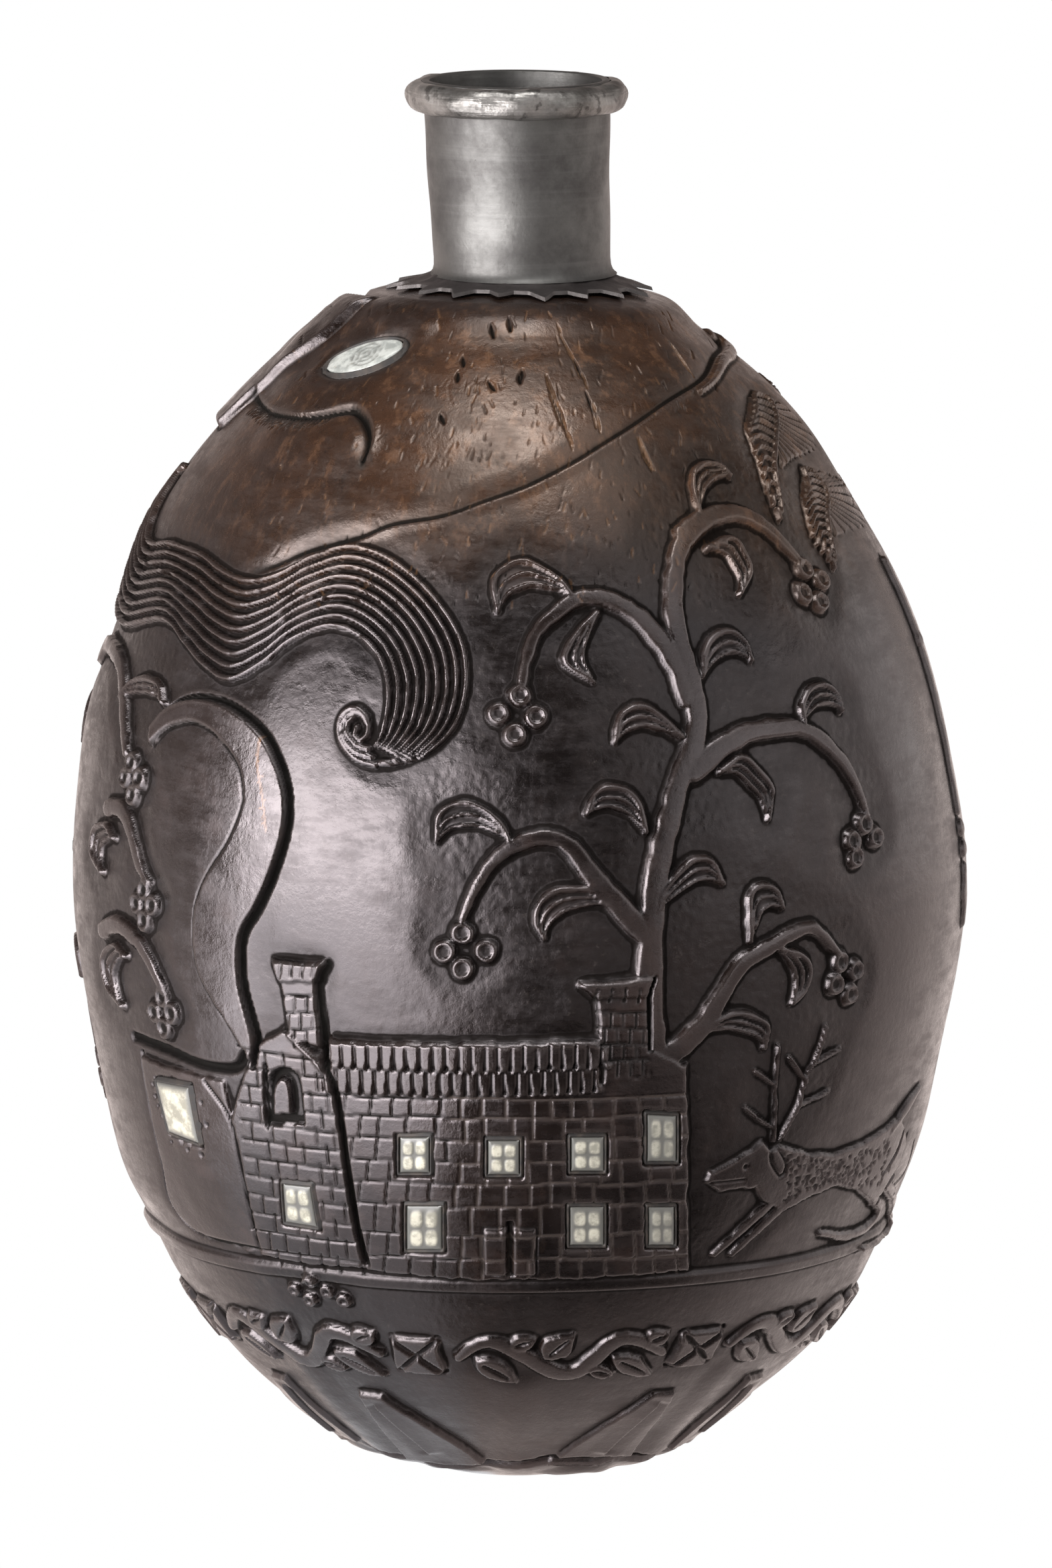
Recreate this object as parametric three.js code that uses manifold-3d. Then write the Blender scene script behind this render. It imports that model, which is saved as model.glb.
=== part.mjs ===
// Carved coconut flask: a hollow nut carved in low relief, a pewter neck bedded in its crown, and pale
// shell inlays set in mastic. Millimetres, +Z up, origin at the centre of the flat foot.
// A place on the nut is [degrees round from the front, height]. The front, with the house, faces -Y, and
// degrees grow towards +X. Heights count up from the foot, and on the mask down from the top of the nut.
import * as THREE from "three";
import { mergeVertices } from "three/addons/utils/BufferGeometryUtils.js";
import Module from "manifold-3d";

const wasm = await Module();
wasm.setup();

// Nut
const girthRadius = 46.9;
const crownLength = 66.8; // girth to the top of the nut
const baseLength = 62; // girth to where the base would close without its foot
const footRadius = 8;
const shellWall = 4.4;
const nutSides = 48;
const nutRings = 7; // in each half of the outside
const cavitySides = 32;
const cavityRings = 6;
const swellingFade = 5; // height over which the swellings die out at the foot and at the top
const swellings = [
  // where the nut isn't quite round: degrees, height, spread in degrees, reach in height, lift
  [-92, 101, 26, 8, 1.2],
  [-95, 82, 26, 7, 0.6],
  [-92, 45, 30, 12, -0.9],
  [92, 106, 34, 12, -0.6],
  [92, 65, 30, 8, 0.6],
  [92, 45.5, 26, 8, -0.7],
  [88, 18, 26, 8, 1.2],
];

// Carving
const reliefHeight = 0.7; // figures above the ground that is cut back round them
const roofLift = 1.05;
const capLift = 1;
const doorLift = 1.05;
const wingLift = 0.55;
const barnLift = 0.6;
const noseLift = 1.2;
const jawLift = 0.8;
const leafLift = 0.55;
const smokeLifts = [0.1, 0.75]; // inner edge and outer edge
const reliefRoot = 1; // depth to which a figure runs into the wall
const ridgeTop = 0.6; // width of a ridge's top as a share of its foot
const leafTop = 0; // leaves come to an edge
const bendStep = 8; // degrees of the nut that one facet of a figure may span

// Pewter neck
const tubeFootRadius = 9.25;
const tubeTopRadius = 9.9;
const tubeWall = 0.8;
const tubeRise = 20.4; // above the flange
const tubeReach = 6.5; // spigot below the flange
const flangeRadius = 14.1;
const flangeThickness = 0.8;
const flangeTeeth = 18;
const toothDepth = 2;
const seatRadius = 16; // flatter crown that the flange lies on
const seatFoot = 18.4; // where its edge runs out on the nut
const seatLift = 1.3; // height of that edge above the oval of the nut
const beadRadius = 11.65;
const beadHeight = 3.2;
const sealThickness = 1;
const neckSides = 42;

// Inlays
const inlayThickness = 1.1;
const inlaySink = 0.1; // below the face that it is set in
const bedThickness = 0.5;
const windowWidth = 3.1;
const windowHeight = 3.7;
const barnWindowWidth = 5;
const barnWindowHeight = 5.2;
const eyeLength = 11.4;
const eyeHeight = 5.4;
const eyeTilt = 16; // degrees
const clearance = 0.3; // between pieces that touch

// Ground line and what stands on it
const ledgeHeight = 27.2;
const ledgeThickness = 1.4;
const wallHeight = 22; // walls of the house up to the eaves
const roofHeight = 4.6;
const chimneyRise = 7; // above the roof
const chimneyCap = 1.6;
const houseLeft = -25.2;
const houseRight = 25;
const roofRight = 17.5;
const wingLeft = -41;
const barnLeft = -64;
const barnGable = -58; // left end of the barn's ridge
const barnRight = -39;
const barnRoofDrop = 5; // barn ridge below the top of the house
const slopeRise = 1.8; // end of the roof that shows to the right of the chimney
const wallLap = 1; // degrees that the house wall covers of the wing
const capReach = 1; // degrees that a chimney's cap stands out on each side
const leftChimney = [-31.5, -25.5]; // from and to, in degrees
const rightChimney = [10, 17.2];
const doorWidth = 4.8;
const doorHeight = 4.4;
const doorTurn = -2;

// Windows of the house as [degrees, height above the ledge]
const upperRow = 14;
const lowerRow = 5.6;
const windows = {
  upper_1: [-13.3, upperRow],
  upper_2: [-1.5, upperRow],
  upper_3: [9.5, upperRow],
  upper_4: [20.2, upperRow + 1.2],
  lower_1: [-13, lowerRow],
  lower_2: [10, lowerRow],
  lower_3: [21.3, lowerRow],
  wing: [-32, lowerRow + 1.6],
};
const barnWindow = [-51.4, upperRow + 1.5];

// Weeping tree, as [degrees from its foot, height above its foot]
const trunkWidths = [3, 1.4];
const branchWidths = [2.2, 1];
const leafWidths = [2, 1.4];
const blossomRadius = 2.6;
const blossomDrop = 2.6; // centre of a blossom below the tip that it hangs from
const blossomSides = 6;
const trunk = [
  [0, 0], [-0.5, 10], [1, 19.5], [5, 29], [8, 36], [6.8, 43.5], [10, 51], [18, 54], [27, 53.5], [33.5, 48.5],
];
const branches = [
  [[7.5, 36.5], [4, 42.2], [-1.5, 46.1], [-8, 46.8], [-14, 43.8], [-16.6, 38.2]],
  [[5.5, 29], [11, 31.5], [19, 33], [26.5, 31.8], [32, 28], [34.7, 22.8]],
  [[0, 12.5], [-6, 17.7], [-10.3, 22], [-15, 23.1], [-20.6, 20.6], [-24.1, 14.9]],
  [[1, 0.2], [7, 3.2], [12.3, 9], [19, 11.5], [23.5, 11.9], [28, 8.8]],
];
const leaves = [
  [[-9, 47], [-17, 50], [-20, 46]],
  [[-5.3, 45.4], [-9.8, 42.2], [-6.4, 38.6]],
  [[5.3, 33], [-1.3, 36], [-4, 32.7]],
  [[-18.3, 23], [-23.4, 26.6], [-27.6, 22.7]],
  [[-5.5, 16], [-12.7, 17.6], [-14, 12.8]],
  [[9.6, 38.6], [15.8, 42.8], [18, 39.8]],
  [[10.5, 29], [16.5, 28.6], [17, 23.7]],
  [[0.7, 15.3], [6, 20.3], [9.8, 17.6]],
];
const trees = [
  { foot: [17.5, 51.5], side: 1 },
  { foot: [141.5, 30], side: 1 },
  { foot: [-115.5, 30], side: -1 },
];

// Branches of the tree at the left, as [degrees, height above the ledge]
const leftBranches = [
  [[-90, 60], [-81, 61.4], [-73, 60.5], [-68, 57], [-63.7, 52.4]],
  [[-67, 46], [-60, 45], [-55, 40]],
  [[-67, 33.4], [-58.4, 33.8], [-51.5, 28.7]],
];

// Edges of the plume of smoke and of the mane, as [degrees, height above the ledge] in pairs
const smokeInner = [
  [-57.8, 53.6], [-51.7, 56.5], [-44.5, 56.1], [-39, 53], [-38, 49],
  [-39.6, 45.5], [-44.7, 38.6], [-45, 34.7], [-41.6, 28.4], [-37.2, 23.7],
];
const smokeOuter = [
  [-58.2, 56], [-52.8, 59], [-43.4, 59.2], [-35.6, 56.6], [-31.7, 52.6],
  [-30.7, 46.7], [-34.2, 39], [-37, 33], [-35.8, 27.7], [-36, 22.3],
];
const maneLocks = 3;
const lockGap = 0.2; // share of a lock's width that is cut away between two locks
const maneLower = [
  [-89.5, 65.3], [-78, 64.2], [-62.6, 66.2], [-54.4, 64.3], [-43.7, 61.7], [-34, 66.3], [-28.5, 68],
  [-24, 67.5], [-20, 65.4], [-18, 62.8], [-17.6, 60.4], [-18, 58.3], [-20.4, 57],
];
const maneUpper = [
  [-89.5, 77.6], [-80.7, 72.7], [-69, 73.2], [-58.6, 73], [-45, 71.4], [-34, 74.3], [-27.3, 75.7],
  [-20, 74.7], [-13.4, 71.8], [-8.3, 67.6], [-7, 63.4], [-9, 58], [-16.7, 54],
];

// Stag, as [degrees, height above the ledge]
const stagWidths = { body: [5.5, 7], neck: [3.8, 2.2], leg: [1.8, 1], antler: [1, 0.7] };
const stag = {
  body: [[[37, 10.3], [48, 9.4], [60, 9.6], [69, 9]]],
  neck: [[[39, 11.8], [34, 12], [28, 10.7]]],
  leg: [
    [[41, 6.4], [38.5, 4.7], [34, 1.6]],
    [[39, 7.3], [35, 4.5], [30.8, 1.9]],
    [[64, 6], [70, 3], [67, 1.2], [52, 2.2]],
  ],
  antler: [[[37, 13], [36.3, 19], [36, 24.3]], [[38, 13], [40.5, 18.5], [47, 23]]],
};

// Mask, as [degrees, height below the top of the nut]
const noseTurn = -92;
const noseDrops = [16.5, 4.6]; // lower end, upper end
const noseHalfTurns = [9, 22]; // degrees to each side there
const jawWidths = [1.6, 2];
const jaw = [
  [94, 8.6], [71, 9.3], [52, 11], [36, 12.8], [21, 15.6], [2, 20], [-12.5, 23], [-26.5, 25.3],
  [-42, 29.2],
];
const tufts = [
  {
    rim: [[67, 12], [57, 14], [53.8, 16.6], [50.6, 21.2]],
    spine: [[81, 12.5], [74.6, 14.2], [63, 16.2], [51.5, 23]],
  },
  {
    rim: [[66, 19.7], [59.3, 22.4], [57.5, 25], [57, 27.4]],
    spine: [[80, 20.5], [71, 22.6], [63, 25.4], [60.7, 28.2]],
  },
];
const eyeFromNose = 44; // degrees
const eyeDrop = 7.2;

// Band under the ledge and star round the foot
const bandSquares = 7;
const squareSize = 4.6;
const squareHeight = 18.4;
const firstSquare = -17.5;
const starRays = 8;
const firstRay = -22;
const starLow = 4.6;
const starHigh = 12.6;
const starFootHalf = 13; // degrees to each side
const starTipHalf = 2.6;
const starLean = 9; // degrees that the tips lean, by turns to one side and to the other

const girthHeight = baseLength * Math.sqrt(1 - (footRadius / girthRadius) ** 2);
const nutTop = girthHeight + crownLength;
const mergeDistance = 1e-4;

function nutProfile(height, lift = 0) {
  const rise = height - girthHeight;
  const length = rise > 0 ? crownLength : baseLength;
  const radius = girthRadius * Math.sqrt(Math.max(0, 1 - (rise / length) ** 2));
  const outward = new THREE.Vector2(radius / girthRadius ** 2, rise / length ** 2).normalize();
  return new THREE.Vector2(radius, height).addScaledVector(outward, lift);
}

function crownHeight(radius) {
  return girthHeight + crownLength * Math.sqrt(1 - (radius / girthRadius) ** 2);
}

function swelling(degrees, height) {
  const { euclideanModulo, smoothstep } = THREE.MathUtils;
  const fade = smoothstep(height, 0, swellingFade) * smoothstep(nutTop - height, 0, swellingFade);
  return swellings.reduce((sum, [turn, middle, spread, reach, lift]) => {
    const away = euclideanModulo(degrees - turn + 180, 360) - 180;
    return sum + fade * lift * Math.exp(-((away / spread) ** 2) - ((height - middle) / reach) ** 2);
  }, 0);
}

function nutPoint(degrees, height, lift = 0) {
  const at = nutProfile(height, lift + swelling(degrees, height));
  const turn = THREE.MathUtils.degToRad(degrees);
  return new THREE.Vector3(at.x * Math.sin(turn), -at.x * Math.cos(turn), at.y);
}

function solid(geometry) {
  const bare = new THREE.BufferGeometry();
  bare.setAttribute("position", geometry.getAttribute("position"));
  bare.setIndex(geometry.getIndex());
  const merged = mergeVertices(bare, mergeDistance);
  const corners = merged.getIndex().array;
  const kept = [];
  for (let i = 0; i < corners.length; i += 3) {
    const [a, b, c] = corners.slice(i, i + 3);
    if (a !== b && b !== c && c !== a) kept.push(a, b, c);
  }
  return new wasm.Manifold(
    new wasm.Mesh({
      numProp: 3,
      vertProperties: merged.getAttribute("position").array,
      triVerts: new Uint32Array(kept),
    }),
  );
}

function geometryOf(made) {
  const mesh = made.getMesh();
  const geometry = new THREE.BufferGeometry();
  geometry.setAttribute("position", new THREE.BufferAttribute(mesh.vertProperties, 3));
  geometry.setIndex(new THREE.BufferAttribute(mesh.triVerts, 1));
  geometry.computeVertexNormals();
  return geometry;
}

function joined(solids) {
  return solids.reduce((whole, next) => whole.add(next));
}

function revolved(points, sides) {
  return solid(new THREE.LatheGeometry(points, sides).rotateX(Math.PI / 2));
}

function closedRing(points, sides) {
  return revolved([...points, points[0]], sides);
}

function reshaped(geometry, place) {
  const corners = geometry.getAttribute("position");
  for (let i = 0; i < corners.count; i++) {
    const moved = place(corners.getX(i), corners.getY(i), corners.getZ(i));
    corners.setXYZ(i, moved.x, moved.y, moved.z);
  }
  return geometry;
}

const mix = THREE.MathUtils.lerp;

// A panel that follows the nut between four places: lower left, lower right, upper right, upper left.
function panel([lowLeft, lowRight, highRight, highLeft], lift) {
  const across = Math.ceil((lowRight[0] - lowLeft[0]) / bendStep);
  const up = Math.ceil((highLeft[1] - lowLeft[1]) / bendStep);
  return solid(
    reshaped(new THREE.BoxGeometry(1, 1, 1, across, up, 1), (x, y, z) => {
      const [degrees, height] = [0, 1].map((i) => {
        const low = mix(lowLeft[i], lowRight[i], x + 0.5);
        const high = mix(highLeft[i], highRight[i], x + 0.5);
        return mix(low, high, y + 0.5);
      });
      return nutPoint(degrees, height, z > 0 ? lift : -reliefRoot);
    }),
  );
}

// A ridge that runs over the nut on a smooth line through its places.
function ridge(places, [startWidth, endWidth], { lift = reliefHeight, top = ridgeTop } = {}) {
  const steps = places.length;
  const line = new THREE.CatmullRomCurve3(places.map((place) => new THREE.Vector3(...place)));
  const near = 0.01; // share of the line over which its direction is taken
  const on = (share) => {
    const place = line.getPoint(THREE.MathUtils.clamp(share, 0, 1));
    return nutPoint(place.x, place.y);
  };
  return solid(
    reshaped(new THREE.BoxGeometry(1, 1, 1, steps, 1, 1), (x, y, z) => {
      const share = x + 0.5;
      const place = line.getPoint(share);
      const foot = on(share);
      const outward = nutPoint(place.x, place.y, 1).sub(foot);
      const along = on(share + near).sub(on(share - near)).normalize();
      const across = outward.clone().cross(along);
      const width = mix(startWidth, endWidth, share) * (z > 0 ? top : 1);
      const sideways = foot.addScaledVector(across, y * width);
      return sideways.addScaledVector(outward, z > 0 ? lift : -reliefRoot);
    }),
  );
}

// A strip that runs over the nut between two edges, which have as many places each, from one share of the way
// across to another.
function strip(right, left, [from, to], [rightLift, leftLift]) {
  const steps = right.length - 1;
  return solid(
    reshaped(new THREE.BoxGeometry(1, 1, 1, steps, 1, 1), (x, y, z) => {
      const k = Math.round((x + 0.5) * steps);
      const share = mix(from, to, y + 0.5);
      const [degrees, height] = [0, 1].map((i) => mix(right[k][i], left[k][i], share));
      return nutPoint(degrees, height, z > 0 ? mix(rightLift, leftLift, share) : -reliefRoot);
    }),
  );
}

function acrossNose(places) {
  return places.map(([degrees, height]) => [2 * noseTurn - degrees, height]);
}

// Millimetres east, north and outward of a place on the nut.
function patch([degrees, height], east, north, lift) {
  const centre = nutProfile(height);
  const steepness = nutProfile(height, 1).sub(centre).x;
  const turn = THREE.MathUtils.radToDeg(east / centre.x);
  return nutPoint(degrees + turn, height + north * steepness, lift);
}

function blossom(place) {
  const disc = new THREE.CylinderGeometry(blossomRadius * ridgeTop, blossomRadius, 1, blossomSides);
  return solid(
    reshaped(disc.rotateX(Math.PI / 2), (x, y, z) => patch(place, x, y, z > 0 ? reliefHeight : -reliefRoot)),
  );
}

function above(base, places) {
  return places.map(([degrees, height]) => [degrees, base + height]);
}

function hangingBlossom(branch) {
  const [degrees, height] = branch.at(-1);
  return blossom([degrees, height - blossomDrop]);
}

function grown({ foot, side }, line) {
  return line.map(([degrees, height]) => [foot[0] + side * degrees, foot[1] + height]);
}

function weepingTree(tree) {
  return [
    ridge(grown(tree, trunk), trunkWidths),
    ...branches.map((line) => ridge(grown(tree, line), branchWidths)),
    ...[trunk, ...branches].map((line) => hangingBlossom(grown(tree, line))),
  ];
}

function treeLeaves(tree) {
  const shape = { lift: leafLift, top: leafTop };
  return leaves.map((line) => ridge(grown(tree, line), leafWidths, shape));
}

function leftTree() {
  const lines = leftBranches.map((line) => above(ledgeHeight, line));
  return [...lines.map((line) => ridge(line, branchWidths)), ...lines.map(hangingBlossom)];
}

const houseFoot = ledgeHeight - ledgeThickness / 2; // walls run down into the ledge
const eaves = ledgeHeight + wallHeight;
const houseTop = eaves + roofHeight;

function house() {
  const upright = (left, right, low, high) => [[left, low], [right, low], [right, high], [left, high]];
  const chimneyTop = houseTop + chimneyRise;
  const barnTop = houseTop - barnRoofDrop;
  const chimney = ([left, right]) => [
    panel(upright(left, right, eaves, chimneyTop), reliefHeight),
    panel(upright(left - capReach, right + capReach, chimneyTop - chimneyCap, chimneyTop), capLift),
  ];
  const door = new THREE.BoxGeometry(doorWidth, doorHeight, 1, 2, 1, 1);
  return [
    panel(upright(houseLeft, houseRight, houseFoot, eaves + slopeRise), reliefHeight),
    panel(upright(houseLeft, roofRight, eaves, houseTop), roofLift),
    panel(upright(wingLeft, houseLeft + wallLap, houseFoot, eaves), wingLift),
    panel(
      [[barnLeft, houseFoot], [wingLeft, houseFoot], [barnRight, barnTop], [barnGable, barnTop]],
      barnLift,
    ),
    ...chimney(leftChimney),
    ...chimney(rightChimney),
    solid(
      reshaped(door, (x, y, z) => {
        const foot = [doorTurn, ledgeHeight + ledgeThickness];
        return patch(foot, x, y + doorHeight / 2, z > 0 ? doorLift : 0);
      }),
    ),
  ];
}

// The mane falls from the mask on both sides of the nose.
function mane() {
  const lower = above(ledgeHeight, maneLower);
  const upper = above(ledgeHeight, maneUpper);
  const lifts = [reliefHeight, reliefHeight];
  return Array.from({ length: maneLocks }, (_, i) => {
    const across = [(i + lockGap / 2) / maneLocks, (i + 1 - lockGap / 2) / maneLocks];
    return [strip(lower, upper, across, lifts), strip(acrossNose(upper), acrossNose(lower), across, lifts)];
  }).flat();
}

function mask() {
  const fromTop = (places) => places.map(([degrees, drop]) => [degrees, nutTop - drop]);
  const [low, high] = noseDrops;
  const [lowHalf, highHalf] = noseHalfTurns;
  const corners = [[-lowHalf, low], [lowHalf, low], [highHalf, high], [-highHalf, high]];
  const lifts = [reliefHeight, reliefHeight];
  return [
    panel(fromTop(corners.map(([turn, drop]) => [noseTurn + turn, drop])), noseLift),
    ridge(fromTop(jaw), jawWidths, { lift: jawLift }),
    ...tufts.flatMap(({ rim, spine }) => [
      strip(fromTop(rim), fromTop(spine), [0, 1], lifts),
      strip(acrossNose(fromTop(spine)), acrossNose(fromTop(rim)), [0, 1], lifts),
    ]),
  ];
}

function stagRidges() {
  return Object.entries(stag).flatMap(([part, lines]) =>
    lines.map((line) => ridge(above(ledgeHeight, line), stagWidths[part])),
  );
}

function bandOrnament() {
  return Array.from({ length: bandSquares }, (_, i) => {
    const square = new THREE.BoxGeometry(squareSize, squareSize, 1, 2, 1, 1);
    const centre = [firstSquare + (i * 360) / bandSquares, squareHeight];
    return solid(reshaped(square, (x, y, z) => patch(centre, x, y, z > 0 ? reliefHeight : -reliefRoot)));
  });
}

function footStar() {
  return Array.from({ length: starRays }, (_, i) => {
    const turn = firstRay + (i * 360) / starRays;
    const tip = turn + (i % 2 ? starLean : -starLean);
    return panel(
      [
        [turn - starFootHalf, starLow],
        [turn + starFootHalf, starLow],
        [tip + starTipHalf, starHigh],
        [tip - starTipHalf, starHigh],
      ],
      reliefHeight,
    );
  });
}

// Outline of an inlay, grown by a margin, as a plate between two lifts over its place.
function inlayPlate(inlay, margin, low, high) {
  const cut = { depth: 1, bevelEnabled: false, curveSegments: 6 };
  const plate = new THREE.ExtrudeGeometry(inlay.outline(margin), cut);
  return solid(reshaped(indexed(plate), (x, y, z) => patch(inlay.place, x, y, z > 0.5 ? high : low)));
}

function indexed(geometry) {
  const bare = new THREE.BufferGeometry();
  bare.setAttribute("position", geometry.getAttribute("position"));
  return mergeVertices(bare, mergeDistance);
}

function paneOutline(width, height) {
  return (margin) => {
    const right = width / 2 + margin;
    const top = height / 2 + margin;
    return new THREE.Shape([
      new THREE.Vector2(-right, -top),
      new THREE.Vector2(right, -top),
      new THREE.Vector2(right, top),
      new THREE.Vector2(-right, top),
    ]);
  };
}

function almondOutline(tilt) {
  return (margin) => {
    const end = eyeLength / 2 + margin;
    const crest = eyeHeight + 2 * margin; // control point of a curve that reaches half as high
    const turn = THREE.MathUtils.degToRad(tilt);
    const turned = (x, y) => new THREE.Vector2(x, y).rotateAround(new THREE.Vector2(), turn);
    const shape = new THREE.Shape();
    const [left, right, top, bottom] = [turned(-end, 0), turned(end, 0), turned(0, crest), turned(0, -crest)];
    shape.moveTo(left.x, left.y);
    shape.quadraticCurveTo(bottom.x, bottom.y, right.x, right.y);
    shape.quadraticCurveTo(top.x, top.y, left.x, left.y);
    return shape;
  };
}

const inlays = [
  ...Object.entries(windows).map(([name, [degrees, height]]) => ({
    name: "window_" + name,
    place: [degrees, ledgeHeight + height],
    face: name === "wing" ? wingLift : reliefHeight,
    outline: paneOutline(windowWidth, windowHeight),
  })),
  {
    name: "window_barn",
    place: [barnWindow[0], ledgeHeight + barnWindow[1]],
    face: barnLift,
    outline: paneOutline(barnWindowWidth, barnWindowHeight),
  },
  ...Object.entries({ front: 1, back: -1 }).map(([name, side]) => ({
    name: "eye_" + name,
    place: [noseTurn + side * eyeFromNose, nutTop - eyeDrop],
    face: 0,
    outline: almondOutline(side * eyeTilt),
  })),
];

// Lifts of the inlay's faces, its bed and the recess for both, one under the other.
function setting(inlay) {
  const top = inlay.face - inlaySink;
  const under = top - inlayThickness;
  const bedTop = under - clearance;
  const bedUnder = bedTop - bedThickness;
  return { top, under, bedTop, bedUnder, floor: bedUnder - clearance };
}

const bedMargin = clearance + bedThickness;
const opening = 1; // how far a cutter runs out past the face that it cuts

function inlayPiece(inlay) {
  const { top, under } = setting(inlay);
  return inlayPlate(inlay, 0, under, top);
}

function bedPiece(inlay) {
  const { top, bedTop, bedUnder } = setting(inlay);
  const tray = inlayPlate(inlay, bedMargin, bedUnder, top);
  return tray.subtract(inlayPlate(inlay, clearance, bedTop, top + opening));
}

function recess(inlay) {
  return inlayPlate(inlay, bedMargin + clearance, setting(inlay).floor, inlay.face + opening);
}

const flangeHole = tubeFootRadius + clearance;
const holeRadius = flangeHole + sealThickness + clearance;

function seatHeight(radius) {
  const edge = crownHeight(seatRadius) + seatLift;
  return mix(crownHeight(flangeHole), edge, (radius - flangeHole) / (seatRadius - flangeHole));
}

function nutBody() {
  const foot = Math.acos(footRadius / girthRadius);
  const base = [];
  const crown = [];
  for (let i = 0; i <= nutRings; i++) {
    const baseTurn = foot * (1 - i / nutRings);
    const crownTurn = ((i + 1) / (nutRings + 1)) * (Math.PI / 2);
    base.push(nutProfile(girthHeight - baseLength * Math.sin(baseTurn)));
    crown.push(nutProfile(girthHeight + crownLength * Math.sin(crownTurn)));
  }
  const ledgeUnder = ledgeHeight - ledgeThickness;
  const step = [[ledgeUnder, 0], [ledgeUnder, reliefHeight], [ledgeHeight, reliefHeight], [ledgeHeight, 0]];
  const outside = [
    new THREE.Vector2(0, 0),
    ...base.filter((at) => at.y < ledgeUnder),
    ...step.map(([height, proud]) => new THREE.Vector2(nutProfile(height).x + proud, height)),
    ...base.filter((at) => at.y > ledgeHeight),
    ...crown.filter((at) => at.x > seatFoot),
    new THREE.Vector2(seatFoot, crownHeight(seatFoot)),
    ...[seatRadius, holeRadius].map((radius) => new THREE.Vector2(radius, seatHeight(radius))),
    new THREE.Vector2(0, nutTop),
  ];
  const round = new THREE.LatheGeometry(outside, nutSides).rotateX(Math.PI / 2);
  return solid(
    reshaped(round, (x, y, z) => {
      const degrees = THREE.MathUtils.radToDeg(Math.atan2(x, -y));
      const outward = nutPoint(degrees, z, 1).sub(nutPoint(degrees, z));
      return new THREE.Vector3(x, y, z).addScaledVector(outward, swelling(degrees, z));
    }),
  );
}

function cavity() {
  const inside = [];
  for (let i = -cavityRings; i <= cavityRings; i++) {
    const turn = (Math.PI / 2) * (i / cavityRings);
    const length = (i > 0 ? crownLength : baseLength) - shellWall;
    const radius = Math.abs(i) === cavityRings ? 0 : (girthRadius - shellWall) * Math.cos(turn);
    inside.push(new THREE.Vector2(radius, girthHeight + length * Math.sin(turn)));
  }
  return revolved(inside, cavitySides);
}

function neckHole() {
  const low = crownHeight(holeRadius) - 2 * shellWall;
  return revolved(
    [
      new THREE.Vector2(0, low),
      new THREE.Vector2(holeRadius, low),
      new THREE.Vector2(holeRadius, nutTop + opening),
      new THREE.Vector2(0, nutTop + opening),
    ],
    neckSides,
  );
}

function coconutShell() {
  const carving = [
    ...house(),
    ...trees.flatMap(weepingTree),
    ...treeLeaves(trees[0]),
    ...leftTree(),
    strip(above(ledgeHeight, smokeInner), above(ledgeHeight, smokeOuter), [0, 1], smokeLifts),
    ...mane(),
    ...mask(),
    ...stagRidges(),
    ...bandOrnament(),
    ...footStar(),
  ];
  const cuts = [cavity(), neckHole(), ...inlays.map(recess)];
  return cuts.reduce((whole, cut) => whole.subtract(cut), joined([nutBody(), ...carving]));
}

// The flange lies on the crown, dished to it, and the tube passes through its hole.
const flangeSeat = (radius) => seatHeight(radius) + clearance;
const flangeTop = flangeSeat(flangeHole) + flangeThickness;

function collarFlange() {
  const under = [flangeHole, flangeRadius].map((radius) => new THREE.Vector2(radius, flangeSeat(radius)));
  const thickness = new THREE.Vector2(0, flangeThickness);
  const over = under.map((at) => at.clone().add(thickness)).reverse();
  const disc = closedRing([...under, ...over], 2 * flangeTeeth);
  const halfGap = (Math.PI * flangeRadius) / flangeTeeth;
  const low = flangeSeat(flangeRadius) - opening;
  const notch = new THREE.Shape([
    new THREE.Vector2(flangeRadius - toothDepth, 0),
    new THREE.Vector2(flangeRadius + opening, -halfGap),
    new THREE.Vector2(flangeRadius + opening, halfGap),
  ]);
  const depth = flangeTop + opening - low;
  return Array.from({ length: flangeTeeth }, (_, i) => {
    const cutter = new THREE.ExtrudeGeometry(notch, { depth, bevelEnabled: false });
    return solid(indexed(cutter.translate(0, 0, low).rotateZ((2 * Math.PI * i) / flangeTeeth)));
  }).reduce((whole, cut) => whole.subtract(cut), disc);
}

function neckTube() {
  const foot = flangeTop - tubeReach;
  const top = flangeTop + tubeRise;
  return closedRing(
    [
      new THREE.Vector2(tubeFootRadius, foot),
      new THREE.Vector2(tubeFootRadius, flangeTop),
      new THREE.Vector2(tubeTopRadius, top),
      new THREE.Vector2(tubeTopRadius - tubeWall, top),
      new THREE.Vector2(tubeFootRadius - tubeWall, flangeTop),
      new THREE.Vector2(tubeFootRadius - tubeWall, foot),
    ],
    neckSides,
  );
}

function rimBead() {
  const inner = tubeTopRadius + clearance;
  const middle = flangeTop + tubeRise - beadHeight / 2;
  const section = [];
  const arcSteps = 6;
  for (let i = 0; i <= arcSteps; i++) {
    const turn = Math.PI * (i / arcSteps - 0.5);
    const reach = (beadRadius - inner) * Math.cos(turn);
    section.push(new THREE.Vector2(inner + reach, middle + (beadHeight / 2) * Math.sin(turn)));
  }
  return closedRing(section, neckSides);
}

function pitchSeal() {
  const inner = tubeFootRadius + clearance;
  const outer = inner + sealThickness;
  const low = crownHeight(outer) - shellWall;
  return closedRing(
    [
      new THREE.Vector2(inner, low),
      new THREE.Vector2(outer, low),
      new THREE.Vector2(outer, flangeSeat(outer) - clearance),
      new THREE.Vector2(inner, flangeSeat(inner) - clearance),
    ],
    neckSides,
  );
}

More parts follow.
